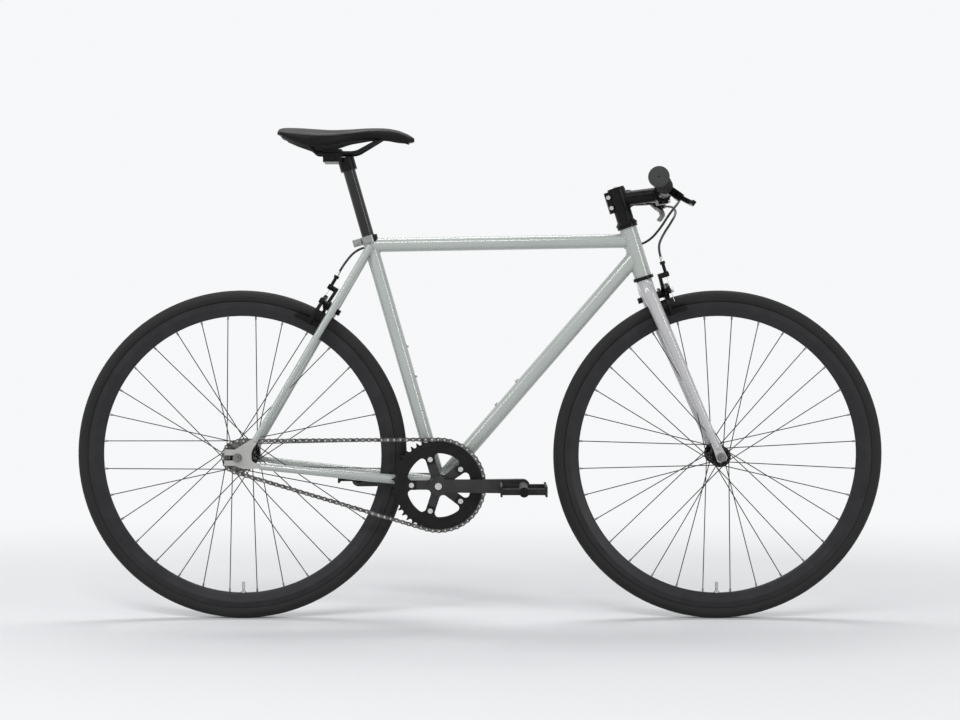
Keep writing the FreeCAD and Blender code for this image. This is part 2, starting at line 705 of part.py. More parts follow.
def stay_bridge(centre, radius, stay_start, stay_end, spread, stays):
    """A cross tube that reaches from one stay to the other."""
    run = stay_end - stay_start
    share = (centre - stay_start).dot(run) / run.Length ** 2
    half_width = spread + (TRACK_END_MIDDLE - spread) * share
    return trimmed(y_rod(centre, radius, half_width), *stays)


def build_rear_triangle(bb_envelope, seat_envelope, top_envelope):
    chain_stays = []
    seat_stays = []
    for side in SIDES:
        aside = ALONG_Y * side
        plate = track_end(side)
        add("track_ends", plate)

        start = CHAIN_STAY_START + aside * CHAIN_STAY_SPREAD
        end = CHAIN_STAY_END + aside * TRACK_END_MIDDLE
        chain_stays.append(taper(start, end, CHAIN_STAY_RADIUS, CHAIN_STAY_TIP_RADIUS))
        stay = hollow_taper(start, end, CHAIN_STAY_RADIUS, CHAIN_STAY_TIP_RADIUS, STAY_WALL)
        add("chain_stays", trimmed(stay, plate, bb_envelope, seat_envelope))

        start = SEAT_STAY_START + aside * SEAT_STAY_SPREAD
        end = SEAT_STAY_END + aside * TRACK_END_MIDDLE
        seat_stays.append(taper(start, end, SEAT_STAY_RADIUS, SEAT_STAY_TIP_RADIUS))
        stay = hollow_taper(start, end, SEAT_STAY_RADIUS, SEAT_STAY_TIP_RADIUS, STAY_WALL)
        add("seat_stays", trimmed(stay, plate, seat_envelope, top_envelope))

    bolt = rod(REAR_BRAKE_BOLT - REAR_BRAKE_OUT * BRIDGE_RADIUS * 2,
               REAR_BRAKE_BOLT + REAR_BRAKE_OUT * BRIDGE_RADIUS * 2, CALIPER_BOLT_RADIUS)
    bridge = stay_bridge(REAR_BRAKE_BOLT, BRIDGE_RADIUS, SEAT_STAY_START, SEAT_STAY_END,
                         SEAT_STAY_SPREAD, seat_stays)
    add("seat_stays", trimmed(bridge, bolt))
    lower_middle = between(CHAIN_STAY_START, CHAIN_STAY_END, LOWER_BRIDGE_REACH / CHAIN_STAY_DISTANCE)
    add("chain_stays", stay_bridge(lower_middle, LOWER_BRIDGE_RADIUS, CHAIN_STAY_START, CHAIN_STAY_END,
                                   CHAIN_STAY_SPREAD, chain_stays))


# Bottom bracket cups and bearings, headset cups and bearings, seat clamp
def build_frame_fittings():
    half_shell = BB_SHELL_WIDTH / 2
    for side in SIDES:
        flange = y_sleeve(BB, side * half_shell, side * (half_shell + CUP_FLANGE_THICKNESS),
                          CUP_FLANGE_RADIUS, SPINDLE_RADIUS + FREE_GAP)
        insert = y_sleeve(BB, side * (half_shell - BB_CUP_DEPTH), side * half_shell,
                          BB_SHELL_BORE, BB_BEARING_RADIUS)
        add("frame_bearings", joined(flange, insert))
        add("frame_bearings",
            y_sleeve(BB, side * (half_shell - BB_BEARING_WIDTH), side * half_shell,
                     BB_BEARING_RADIUS, SPINDLE_RADIUS + RUNNING_FIT))

    for face, away in ((HEAD_TOP, 1), (HEAD_BOTTOM, -1)):
        rim = face + away * CUP_HEIGHT
        depth = face - away * CUP_INSERT_DEPTH
        cup = joined(sleeve(on_steerer(face), on_steerer(rim), CUP_RADIUS, BEARING_RADIUS),
                     sleeve(on_steerer(depth), on_steerer(face), HEAD_TUBE_BORE, CUP_INSERT_BORE))
        bearing_seat = on_steerer(rim - away * BEARING_HEIGHT)
        floor = sleeve(on_steerer(face), bearing_seat, BEARING_RADIUS, CUP_INSERT_BORE)
        bearing = sleeve(bearing_seat, on_steerer(rim), BEARING_RADIUS, STEERER_RADIUS + RUNNING_FIT)
        add("frame_bearings", joined(cup, floor), bearing)
    build_seat_clamp()


def build_seat_clamp():
    """A split collar round the top of the seat tube, with ears and a bolt behind it."""
    outer = SEAT_TUBE_RADIUS + SEAT_CLAMP_WALL
    top = on_seat_tube(SEAT_TUBE_LENGTH)
    bottom = top - SEAT_UP * SEAT_CLAMP_HEIGHT
    back = SEAT_UP.cross(ALONG_Y)
    ear = block(Vector(0, -SEAT_CLAMP_EAR_WIDTH / 2, 0),
                Vector(outer + SEAT_CLAMP_EAR_LENGTH, SEAT_CLAMP_EAR_WIDTH / 2, SEAT_CLAMP_HEIGHT))
    slit = block(Vector(SEAT_TUBE_RADIUS - SEAT_CLAMP_WALL, -SEAT_CLAMP_SLIT / 2, -1),
                 Vector(outer + SEAT_CLAMP_EAR_LENGTH + 1, SEAT_CLAMP_SLIT / 2, SEAT_CLAMP_HEIGHT + 1))
    bolt_place = bottom + back * (outer + SEAT_CLAMP_EAR_LENGTH / 2) + SEAT_UP * SEAT_CLAMP_HEIGHT / 2
    half_bolt = SEAT_CLAMP_EAR_WIDTH / 2
    shank = y_rod(bolt_place, STEM_BOLT_RADIUS, half_bolt)
    head = rod(bolt_place - ALONG_Y * half_bolt, bolt_place - ALONG_Y * (half_bolt + STEM_BOLT_HEAD_HEIGHT),
               STEM_BOLT_HEAD_RADIUS)
    collar = joined(rod(bottom, top, outer), placed(ear, bottom, back, SEAT_UP))
    top_tube = rod(TOP_TUBE_REAR, TOP_TUBE_FRONT, TOP_TUBE_RADIUS)
    seat_tube = rod(bottom, top, SEAT_TUBE_RADIUS)
    add("seat_clamp", trimmed(collar, seat_tube, top_tube, placed(slit, bottom, back, SEAT_UP), shank))
    add("seat_clamp", joined(shank, head))


# Fork: steerer and crown in one piece, two blades with slotted ends
def build_fork():
    blade_up = unit(FRONT_BRAKE_BOLT - FRONT_AXLE)
    bend_plane_normal = blade_up.cross(ALONG_Y)
    steerer = rod(on_steerer(AXLE_TO_CROWN_RACE), on_steerer(STEM_TOP - FREE_GAP), STEERER_RADIUS)
    bore = rod(on_steerer(AXLE_TO_CROWN_RACE), on_steerer(STEM_TOP), STEERER_RADIUS - STEERER_WALL)
    boss_bottom = on_steerer(AXLE_TO_FRONT_BRAKE_BOLT - CROWN_BOSS_BELOW_BOLT)
    boss = rod(boss_bottom, on_steerer(AXLE_TO_CROWN_RACE), CROWN_BOSS_RADIUS)
    arch = Part.makeTorus(BLADE_TOP_SPREAD, BLADE_TOP_RADIUS, FRONT_BRAKE_BOLT, bend_plane_normal)
    size = BLADE_TOP_SPREAD * 2
    upper_half = placed(block(Vector(-size, -size, 0), Vector(size, size, size)), FRONT_BRAKE_BOLT,
                        ALONG_Y.cross(blade_up), blade_up)
    arch = arch.common(upper_half)
    above_race = rod(on_steerer(AXLE_TO_CROWN_RACE), on_steerer(HEAD_TOP), size)
    bolt = rod(FRONT_BRAKE_BOLT - STEER_OUT * size, FRONT_BRAKE_BOLT + STEER_OUT * size, CALIPER_BOLT_RADIUS)
    crown = trimmed(joined(boss, arch.Solids[0]), above_race, bolt)
    add("fork_crown", joined(crown, steerer.cut(bore)))

    end_inner = FRONT_HUB_SPACING / 2
    end_middle = end_inner + FORK_END_THICKNESS / 2
    half_slot = FRONT_AXLE_RADIUS + FORK_SLOT_CLEARANCE
    for side in SIDES:
        end_foot = FRONT_AXLE + blade_up * FORK_END_HEIGHT / 2 + ALONG_Y * side * end_middle
        head = FRONT_BRAKE_BOLT + ALONG_Y * side * BLADE_TOP_SPREAD
        head = head + unit(head - end_foot) * BLADE_WALL
        blade = hollow_taper(head, end_foot, BLADE_TOP_RADIUS, BLADE_TIP_RADIUS, BLADE_WALL)
        face = outline(
            lambda across, up: Vector(across, side * end_inner, up),
            (-half_slot, -FORK_END_HALF_WIDTH), (-half_slot, 0), ((0, half_slot), (half_slot, 0)),
            (half_slot, -FORK_END_HALF_WIDTH), (FORK_END_HALF_WIDTH, -half_slot),
            (BLADE_TIP_RADIUS, FORK_END_HEIGHT), (-BLADE_TIP_RADIUS, FORK_END_HEIGHT),
            (-FORK_END_HALF_WIDTH, -half_slot))
        end_plate = face.extrude(ALONG_Y * side * FORK_END_THICKNESS)
        end_plate = placed(end_plate, FRONT_AXLE, ALONG_Y.cross(blade_up), blade_up)
        add("fork_blades", trimmed(joined(blade, end_plate), upper_half))


# Steering: headset cover, spacers, top cap, stem, handlebar and grips
STEM_JOINT = on_steerer(STEM_TOP - STEM_EXTENSION_DROP)
STEM_DIRECTION = Vector(math.cos(math.radians(STEM_RISE_ANGLE)), 0, math.sin(math.radians(STEM_RISE_ANGLE)))
STEM_UP = STEM_DIRECTION.cross(ALONG_Y)
BAR_CENTRE = STEM_JOINT + STEM_DIRECTION * STEM_LENGTH
BAR_BOLT_UP = BAR_RADIUS + STEM_BOLT_RADIUS + BAR_BOLT_WALL
BAR_EAR_HALF = BAR_RADIUS * BAR_EAR_SHARE
BAR_EAR_UP = BAR_BOLT_UP + STEM_BOLT_HEAD_RADIUS + BOLT_EDGE


def build_headset_top():
    cover_bottom = on_steerer(UPPER_CUP_TOP + FREE_GAP)
    cover_top = on_steerer(COVER_TOP)
    bore = rod(cover_bottom, cover_top, STEERER_RADIUS)
    cone = taper(cover_bottom, cover_top, TOP_COVER_RADIUS, SPACER_RADIUS)
    add("headset_spacers", cone.cut(bore))
    for step in range(SPACER_COUNT):
        bottom = on_steerer(COVER_TOP + step * SPACER_HEIGHT)
        top = bottom + STEER_UP * SPACER_HEIGHT
        add("headset_spacers", sleeve(bottom, top, SPACER_RADIUS, STEERER_RADIUS))

    cap_bottom = on_steerer(STEM_TOP)
    nut_top = on_steerer(STEM_BOTTOM + STEM_CLAMP_HEIGHT / 2)
    nut_bottom = nut_top - STEER_UP * TOP_CAP_HEIGHT
    bolt_top = cap_bottom + STEER_UP * (TOP_CAP_HEIGHT + STEM_BOLT_HEAD_HEIGHT / 2)
    bolt = joined(rod(nut_bottom, bolt_top, STEM_BOLT_RADIUS),
                  rod(cap_bottom + STEER_UP * TOP_CAP_HEIGHT, bolt_top, STEM_BOLT_HEAD_RADIUS))
    cap = rod(cap_bottom, cap_bottom + STEER_UP * TOP_CAP_HEIGHT, SPACER_RADIUS)
    nut = rod(nut_bottom, nut_top, STEERER_RADIUS - STEERER_WALL)
    add("headset_spacers", cap.cut(bolt).Solids[0], nut.cut(bolt).Solids[0])
    add("cockpit_bolts", bolt)


def build_stem():
    low = on_steerer(STEM_BOTTOM)
    high = on_steerer(STEM_TOP)
    half_clamp = BAR_CLAMP_WIDTH / 2
    ear = block(Vector(-BAR_EAR_HALF, -half_clamp, -BAR_EAR_UP), Vector(BAR_EAR_HALF, half_clamp, BAR_EAR_UP))
    ear = placed(ear, BAR_CENTRE, STEM_DIRECTION, STEM_UP)
    bar_ring = joined(y_rod(BAR_CENTRE, BAR_CLAMP_RADIUS, half_clamp), ear)
    bar_ring = bar_ring.cut(y_rod(BAR_CENTRE, BAR_RADIUS, half_clamp))
    reach = BAR_CLAMP_RADIUS * 2
    front = block(Vector(0, -reach, -reach), Vector(reach, reach, reach))
    front = placed(front, BAR_CENTRE, STEM_DIRECTION, STEM_UP)
    gap_front = front.translated(STEM_DIRECTION * FACE_PLATE_GAP / 2)

    face_bolts = []
    for across in SIDES:
        for up in SIDES:
            axis = BAR_CENTRE + ALONG_Y * across * FACE_PLATE_BOLT_SPREAD + STEM_UP * up * BAR_BOLT_UP
            seat = axis + STEM_DIRECTION * BAR_EAR_HALF
            face_bolts.append(joined(
                rod(axis - STEM_DIRECTION * BAR_EAR_HALF, seat, STEM_BOLT_RADIUS),
                rod(seat, seat + STEM_DIRECTION * STEM_BOLT_HEAD_HEIGHT, STEM_BOLT_HEAD_RADIUS)))
    face_plate = bar_ring.common(gap_front)
    add("stem", trimmed(face_plate, *face_bolts))

    pinch_back = STEM_CLAMP_RADIUS + STEM_BOLT_RADIUS
    pinch_half = STEM_BOLT_HEAD_RADIUS * 2
    pinch_ear = placed(block(Vector(-pinch_back - STEM_BOLT_HEAD_RADIUS - BOLT_EDGE, -pinch_half, 0),
                             Vector(0, pinch_half, STEM_CLAMP_HEIGHT)), low, STEER_OUT, STEER_UP)
    slit = placed(block(Vector(-pinch_back * 2, -STEM_CLAMP_SLIT / 2, 0),
                        Vector(0, STEM_CLAMP_SLIT / 2, STEM_CLAMP_HEIGHT)), low, STEER_OUT, STEER_UP)
    pinch_bolts = []
    for share in PINCH_BOLT_SHARES:
        axis = low + STEER_UP * STEM_CLAMP_HEIGHT * share - STEER_OUT * pinch_back
        near = axis - ALONG_Y * pinch_half
        pinch_bolts.append(joined(
            rod(near, axis + ALONG_Y * pinch_half, STEM_BOLT_RADIUS),
            rod(near - ALONG_Y * STEM_BOLT_HEAD_HEIGHT, near, STEM_BOLT_HEAD_RADIUS)))
    extension = rod(STEM_JOINT, BAR_CENTRE - STEM_DIRECTION * BAR_RADIUS / 2, STEM_EXTENSION_RADIUS)
    body = joined(rod(low, high, STEM_CLAMP_RADIUS), pinch_ear, extension, bar_ring.cut(front).Solids[0])
    bores = [rod(low, high, STEERER_RADIUS), y_rod(BAR_CENTRE, BAR_RADIUS, half_clamp), slit]
    add("stem", trimmed(body, *bores, *face_bolts, *pinch_bolts))
    add("cockpit_bolts", *face_bolts, *pinch_bolts)


def bar_corner(side):
    return BAR_CENTRE + ALONG_Y * side * BAR_STRAIGHT_HALF


def bar_end(side):
    return BAR_CENTRE + Vector(-BAR_BACK_SWEEP, side * BAR_HALF_WIDTH, BAR_RISE)


def bar_out(side):
    return unit(bar_end(side) - bar_corner(side))


def build_handlebar():
    path = bent_path([bar_end(-1), bar_corner(-1), bar_corner(1), bar_end(1)], [BAR_BEND_RADIUS] * 2)
    bulge = y_rod(BAR_CENTRE, BAR_RADIUS, BAR_BULGE_HALF)
    shoulders = [taper(BAR_CENTRE + ALONG_Y * side * BAR_BULGE_HALF,
                       BAR_CENTRE + ALONG_Y * side * (BAR_BULGE_HALF + BAR_BULGE_TAPER),
                       BAR_RADIUS, BAR_GRIP_RADIUS) for side in SIDES]
    bar = joined(bent_rod(path, BAR_GRIP_RADIUS), bulge, *shoulders)
    add("handlebar", bar.cut(bent_rod(path, BAR_GRIP_RADIUS - BAR_WALL)).Solids[0])

    for side in SIDES:
        end = bar_end(side)
        outward = bar_out(side)
        cap_end = end + outward * GRIP_END_CAP
        grip = joined(rod(end - outward * GRIP_LENGTH, cap_end, GRIP_RADIUS),
                      rod(cap_end - outward * GRIP_FLANGE_WIDTH, cap_end, GRIP_FLANGE_RADIUS))
        add("grips", grip.cut(rod(end - outward * GRIP_LENGTH, end, BAR_GRIP_RADIUS)))


# Curved bars: an outline that follows an arc at a constant width
def circle_centre(first, second, third):
    ax, ay = first
    bx, by = second
    cx, cy = third
    double_area = 2 * (ax * (by - cy) + bx * (cy - ay) + cx * (ay - by))
    a_square = ax * ax + ay * ay
    b_square = bx * bx + by * by
    c_square = cx * cx + cy * cy
    return ((a_square * (by - cy) + b_square * (cy - ay) + c_square * (ay - by)) / double_area,
            (a_square * (cx - bx) + b_square * (ax - cx) + c_square * (bx - ax)) / double_area)


def band(at, start, through, end, half_width):
    centre = circle_centre(start, through, end)
    radius = math.dist(centre, start)

    def offset(point, distance):
        share = (radius + distance) / radius
        return (centre[0] + (point[0] - centre[0]) * share, centre[1] + (point[1] - centre[1]) * share)

    def cap(point, other):
        """The point of the round end that lies furthest past the given point."""
        along = (-(point[1] - centre[1]) / radius, (point[0] - centre[0]) / radius)
        ahead = along[0] * (other[0] - point[0]) + along[1] * (other[1] - point[1])
        sign = -1 if ahead > 0 else 1
        return (point[0] + sign * along[0] * half_width, point[1] + sign * along[1] * half_width)

    return outline(at, offset(start, half_width),
                   (offset(through, half_width), offset(end, half_width)),
                   (cap(end, through), offset(end, -half_width)),
                   (offset(through, -half_width), offset(start, -half_width)),
                   (cap(start, through), offset(start, half_width)))


# Brake levers
def lever_frame(side):
    """Clamp centre, and the lever's axes: out along the bar, reach away from it, and the normal."""
    outward = bar_out(side)
    from_end = GRIP_LENGTH + LEVER_TO_GRIP_GAP + LEVER_CLAMP_WIDTH / 2
    clamp = bar_end(side) - outward * from_end
    lean = math.radians(LEVER_REACH_ANGLE)
    reach = Vector(math.cos(lean), 0, -math.sin(lean))
    reach = unit(reach - outward * reach.dot(outward))
    return clamp, outward, reach, outward.cross(reach)


def lever_pivot(side):
    clamp, outward, reach, _ = lever_frame(side)
    return clamp + outward * LEVER_PIVOT_OUT + reach * LEVER_PIVOT_REACH


LEVER_CABLE_REACH = LEVER_PIVOT_REACH - LEVER_CABLE_DROP


def lever_cable_exit(side):
    clamp, outward, reach, _ = lever_frame(side)
    return clamp + outward * (LEVER_BODY_BACK - LEVER_BARREL_LENGTH) + reach * LEVER_CABLE_REACH


def build_lever(side, name):
    clamp, outward, reach, normal = lever_frame(side)
    half_lever = LEVER_THICKNESS / 2
    half_slot = half_lever + FREE_GAP
    half_body = half_slot + LEVER_FORK_WALL
    eye = LEVER_PIN_RADIUS + LEVER_EYE_WALL
    foot = LEVER_CLAMP_WIDTH / 2
    barrel_half = LEVER_BARREL_RADIUS + 1

    def plate(half_thickness):
        return lambda along, away: clamp + outward * along + reach * away - normal * half_thickness

    ring_half = outward * foot
    ring = rod(clamp - ring_half, clamp + ring_half, LEVER_CLAMP_RADIUS)
    top = LEVER_PIVOT_REACH + eye
    body = outline(plate(half_body), (-foot, LEVER_BODY_FOOT), (foot, LEVER_BODY_FOOT),
                   (LEVER_PIVOT_OUT + eye, LEVER_PIVOT_REACH - eye),
                   ((LEVER_PIVOT_OUT + eye + 1, LEVER_PIVOT_REACH), (LEVER_PIVOT_OUT, top)),
                   (LEVER_PIVOT_OUT - foot, top), (LEVER_BODY_BACK, LEVER_CABLE_REACH + barrel_half),
                   (LEVER_BODY_BACK, LEVER_CABLE_REACH - barrel_half), (-foot, LEVER_BODY_WAIST))
    body = body.extrude(normal * 2 * half_body)
    barrel_end = lever_cable_exit(side)
    barrel = rod(barrel_end + outward * LEVER_BARREL_LENGTH, barrel_end, LEVER_BARREL_RADIUS)
    slot_back = LEVER_PIVOT_OUT - eye - LEVER_SLOT_MARGIN
    slot_front = LEVER_PIVOT_OUT + LEVER_SLOT_REACH
    slot_foot = LEVER_PIVOT_REACH - eye - LEVER_SLOT_MARGIN
    slot = outline(plate(half_slot), (slot_back, slot_foot), (slot_front, slot_foot), (slot_front, top * 2),
                   (slot_back, top * 2)).extrude(normal * 2 * half_slot)
    pivot = lever_pivot(side)
    pin = rod(pivot - normal * half_body, pivot + normal * half_body, LEVER_PIN_RADIUS)
    bar_bore = rod(clamp - ring_half * 4, clamp + ring_half * 4, BAR_GRIP_RADIUS)
    bracket = trimmed(joined(ring, body, barrel), slot, pin, bar_bore)
    add("brake_lever_brackets", bracket)
    add("cockpit_bolts", pin)

    start = (LEVER_PIVOT_OUT, LEVER_PIVOT_REACH)
    tip = (LEVER_TIP_OUT, LEVER_TIP_REACH)
    middle = tuple((first + last) / 2 + bulge for first, last, bulge in zip(start, tip, LEVER_BLADE_BULGE))
    blade = band(plate(half_lever), start, middle, tip, LEVER_BLADE_WIDTH / 2)
    blade = blade.extrude(normal * 2 * half_lever)
    hub = rod(pivot - normal * half_lever, pivot + normal * half_lever, eye)
    bore = rod(pivot - normal * half_body, pivot + normal * half_body, LEVER_PIN_RADIUS + RUNNING_FIT)
    add(name, trimmed(joined(blade, hub), bore))


# Dual-pivot brake calipers
PAD_INNER_FACE = RIM_HALF_WIDTH + PAD_GAP
PAD_OUTER_FACE = PAD_INNER_FACE + PAD_THICKNESS
HOLDER_OUTER_FACE = PAD_OUTER_FACE + PAD_HOLDER_THICKNESS
ARM_END_ACROSS = HOLDER_OUTER_FACE + CALIPER_ARM_WIDTH / 2
PAD_MIDDLE_RADIUS = (RIM_TRACK_RADIUS + RIM_FLANGE_RADIUS) / 2
PAD_INNER_RADIUS = RIM_TRACK_RADIUS + PAD_MARGIN
PAD_OUTER_RADIUS = RIM_FLANGE_RADIUS - PAD_MARGIN


def caliper_planes(stand_off):
    """Places along the bolt: bracket front, both arms' backs and fronts, and the cable's line."""
    bracket_front = stand_off + CALIPER_BRACKET_THICKNESS
    first_back = bracket_front + FREE_GAP
    first_front = first_back + CALIPER_ARM_THICKNESS
    second_back = first_front + CALIPER_ARM_GAP
    second_front = second_back + CALIPER_ARM_THICKNESS
    return bracket_front, first_back, first_front, second_back, second_front, second_front + WIRE_RADIUS


def axle_in_caliper(bolt_point, out, up, axle):
    offset = axle - bolt_point
    return offset.dot(out), offset.dot(up)


def build_caliper(end, bolt_point, out, up, axle, stand_off, body_radius, body):
    """All pieces of one brake, drawn in its own axes and then placed."""
    bracket_front, first_back, first_front, second_back, second_front, cable_out = caliper_planes(stand_off)
    axle_out, axle_up = axle_in_caliper(bolt_point, out, up, axle)

    def put(shape):
        return placed(shape, bolt_point, out, up)

    def x_rod(across, height, back, front, radius):
        return rod(Vector(back, across, height), Vector(front, across, height), radius)

    def plate(back):
        return lambda across, height: Vector(back, across, height)

    def curved(back, front, start, through, finish, half_width=CALIPER_ARM_WIDTH / 2):
        return band(plate(back), start, through, finish, half_width).extrude(ALONG_X * (front - back))

    pivot = (CALIPER_PIVOT_ACROSS, CALIPER_PIVOT_UP)
    bolt_end = first_front + CALIPER_ARM_GAP - FREE_GAP
    pin_end = second_front + CALIPER_ARM_GAP
    bracket = curved(stand_off, bracket_front, (0, 0), (pivot[0] / 2, pivot[1] / 2 + 1), pivot,
                     CALIPER_BRACKET_HALF_WIDTH)
    bolt = x_rod(0, 0, -body_radius - CALIPER_NUT_HEIGHT, bolt_end, CALIPER_BOLT_RADIUS)
    spacer = x_rod(0, 0, body_radius * CALIPER_SINK_SHARE, stand_off, CALIPER_BRACKET_HALF_WIDTH)
    pin = x_rod(*pivot, stand_off, pin_end, CALIPER_BOLT_RADIUS)
    bolt_cap = x_rod(0, 0, first_front + FREE_GAP, bolt_end, CALIPER_NUT_RADIUS)
    pin_cap = x_rod(*pivot, second_front + FREE_GAP, pin_end, CALIPER_NUT_RADIUS)
    mount = put(joined(bracket, spacer, bolt, pin, bolt_cap, pin_cap))
    shank = put(bolt)
    add(end + "_caliper_mount", trimmed(mount, body.cut(shank)))
    nut_back = -body_radius - CALIPER_NUT_HEIGHT
    nut = x_rod(0, 0, nut_back, -body_radius * CALIPER_SINK_SHARE, CALIPER_NUT_RADIUS)
    add(end + "_caliper_mount", trimmed(put(nut), body, shank))

    arms = ((-1, first_back, first_front, (0, 0)), (1, second_back, second_front, pivot))
    for side, back, front, hub in arms:
        middle_out = (back + front) / 2
        pad_up = axle_up + math.sqrt(PAD_MIDDLE_RADIUS ** 2 - (middle_out - axle_out) ** 2)
        arm_end = (side * ARM_END_ACROSS, pad_up - CALIPER_ARM_WIDTH / 4)
        shoulder = (side * (ARM_END_ACROSS - ARM_SHOULDER_IN), pad_up / 2 + ARM_SHOULDER_RISE)
        leg = curved(back, front, hub, shoulder, arm_end)
        eye = x_rod(*hub, back, front, CALIPER_EYE_RADIUS)
        bolt_start = Vector(middle_out, side * PAD_OUTER_FACE, pad_up)
        bolt_tip = Vector(middle_out, side * (ARM_END_ACROSS + CALIPER_ARM_WIDTH), pad_up)
        pad_bolt = rod(bolt_start, bolt_tip, PAD_BOLT_RADIUS)
        if side < 0:
            stop = (-CABLE_ACROSS, CABLE_STOP_UP)
            bend = (stop[0] * STOP_ARM_BEND[0], stop[1] * STOP_ARM_BEND[1])
            upper = curved(back, front, hub, bend, stop, STOP_ARM_HALF_WIDTH)
            boss = x_rod(*stop, back, cable_out + CABLE_STOP_RADIUS, CABLE_STOP_RADIUS)
            bottom = Vector(cable_out, -CABLE_ACROSS, CABLE_STOP_UP - CABLE_STOP_RADIUS)
            top = bottom + ALONG_Z * (2 * CABLE_STOP_RADIUS + ADJUSTER_LENGTH)
            adjuster = joined(rod(bottom, top, ADJUSTER_RADIUS),
                              rod(top - ALONG_Z * ADJUSTER_KNOB_HEIGHT, top, ADJUSTER_KNOB_RADIUS))
            shape = joined(leg, eye, upper, boss)
            extras = [adjuster]
        else:
            anchor = (-CABLE_ACROSS, CABLE_ANCHOR_UP)
            bend = (-CABLE_ACROSS * CROSS_ARM_BEND, CALIPER_PIVOT_UP + CROSS_ARM_RISE)
            cross = curved(back, front, hub, bend, anchor)
            washer_back = cable_out + WIRE_RADIUS
            beside_wire = -CABLE_ACROSS + WIRE_RADIUS + CABLE_ANCHOR_RADIUS / 2
            anchor_bolt = joined(
                x_rod(beside_wire, CABLE_ANCHOR_UP, front, washer_back, CABLE_ANCHOR_SHANK),
                x_rod(-CABLE_ACROSS, CABLE_ANCHOR_UP, washer_back, washer_back + CABLE_ANCHOR_HEIGHT,
                      CABLE_ANCHOR_RADIUS))
            shape = joined(leg, eye, cross)
            extras = [anchor_bolt]
        bore = x_rod(*hub, back, front, CALIPER_BOLT_RADIUS + RUNNING_FIT)
        name = end + ("_centre_arm" if side < 0 else "_pivot_arm")
        add(name, put(trimmed(shape, bore, pad_bolt, *extras)), *[put(extra) for extra in extras])

        half_angle = math.degrees(PAD_LENGTH / 2 / PAD_MIDDLE_RADIUS)
        toward = math.degrees(math.atan2(middle_out - axle_out, pad_up - axle_up)
                              + PAD_SHIFT / PAD_MIDDLE_RADIUS)

        def sector(inner_face, outer_face, inner_radius, outer_radius):
            start = Vector(axle_out, side * inner_face, axle_up)
            depth = ALONG_Y * side * (outer_face - inner_face)
            ring = sleeve(start, start + depth, outer_radius, inner_radius)
            reach = Vector(0, 0, TYRE_RADIUS)
            wedge = Part.makePolygon([start, start + Rotation(ALONG_Y, toward - half_angle).multVec(reach),
                                      start + Rotation(ALONG_Y, toward + half_angle).multVec(reach), start])
            return ring.common(Part.Face(wedge).extrude(depth)).Solids[0]

        pad = sector(PAD_INNER_FACE, PAD_OUTER_FACE, PAD_INNER_RADIUS, PAD_OUTER_RADIUS)
        holder = sector(PAD_OUTER_FACE, HOLDER_OUTER_FACE, PAD_INNER_RADIUS, PAD_OUTER_RADIUS)
        add(end + ("_centre_pad" if side < 0 else "_pivot_pad"), put(pad))
        add(name, put(trimmed(joined(holder, pad_bolt), shape.cut(pad_bolt))))


def caliper_cable_points(end):
    """Where the cable enters the adjuster, leaves it, and ends, on the bicycle."""
    if end == "front":
        bolt_point, out, up, stand_off = FRONT_BRAKE_BOLT, STEER_OUT, STEER_UP, FRONT_CALIPER_STAND_OFF
    else:
        bolt_point, out, up = REAR_BRAKE_BOLT, REAR_BRAKE_OUT, REAR_BRAKE_UP
        stand_off = REAR_CALIPER_STAND_OFF
    cable_out = caliper_planes(stand_off)[-1]
    across = up.cross(out) * -CABLE_ACROSS
    base = bolt_point + out * cable_out + across
    bottom = CABLE_STOP_UP - CABLE_STOP_RADIUS
    top = bottom + 2 * CABLE_STOP_RADIUS + ADJUSTER_LENGTH
    return base + up * top, base + up * bottom, base + up * (CABLE_ANCHOR_UP - CABLE_TAIL_LENGTH), up


def build_brakes():
    boss = rod(on_steerer(AXLE_TO_FRONT_BRAKE_BOLT - CROWN_BOSS_BELOW_BOLT), on_steerer(AXLE_TO_CROWN_RACE),
               CROWN_BOSS_RADIUS)
    build_caliper("front", FRONT_BRAKE_BOLT, STEER_OUT, STEER_UP, FRONT_AXLE, FRONT_CALIPER_STAND_OFF,
                  CROWN_BOSS_RADIUS, boss)
    bridge = y_rod(REAR_BRAKE_BOLT, BRIDGE_RADIUS, SEAT_STAY_SPREAD)
    build_caliper("rear", REAR_BRAKE_BOLT, REAR_BRAKE_OUT, REAR_BRAKE_UP, REAR_AXLE, REAR_CALIPER_STAND_OFF,
                  BRIDGE_RADIUS, bridge)
    build_lever(-1, "rear_brake_lever")
    build_lever(1, "front_brake_lever")


# Wheels
VALVE_ANGLE = -90.0
NIPPLE_SEAT_RADIUS = RIM_INNER_RADIUS + RIM_TIP_WALL + NIPPLE_SEAT_LIFT


def wheel_point(radius, angle, across):
    turn = math.radians(angle)
    return Vector(radius * math.cos(turn), across, radius * math.sin(turn))


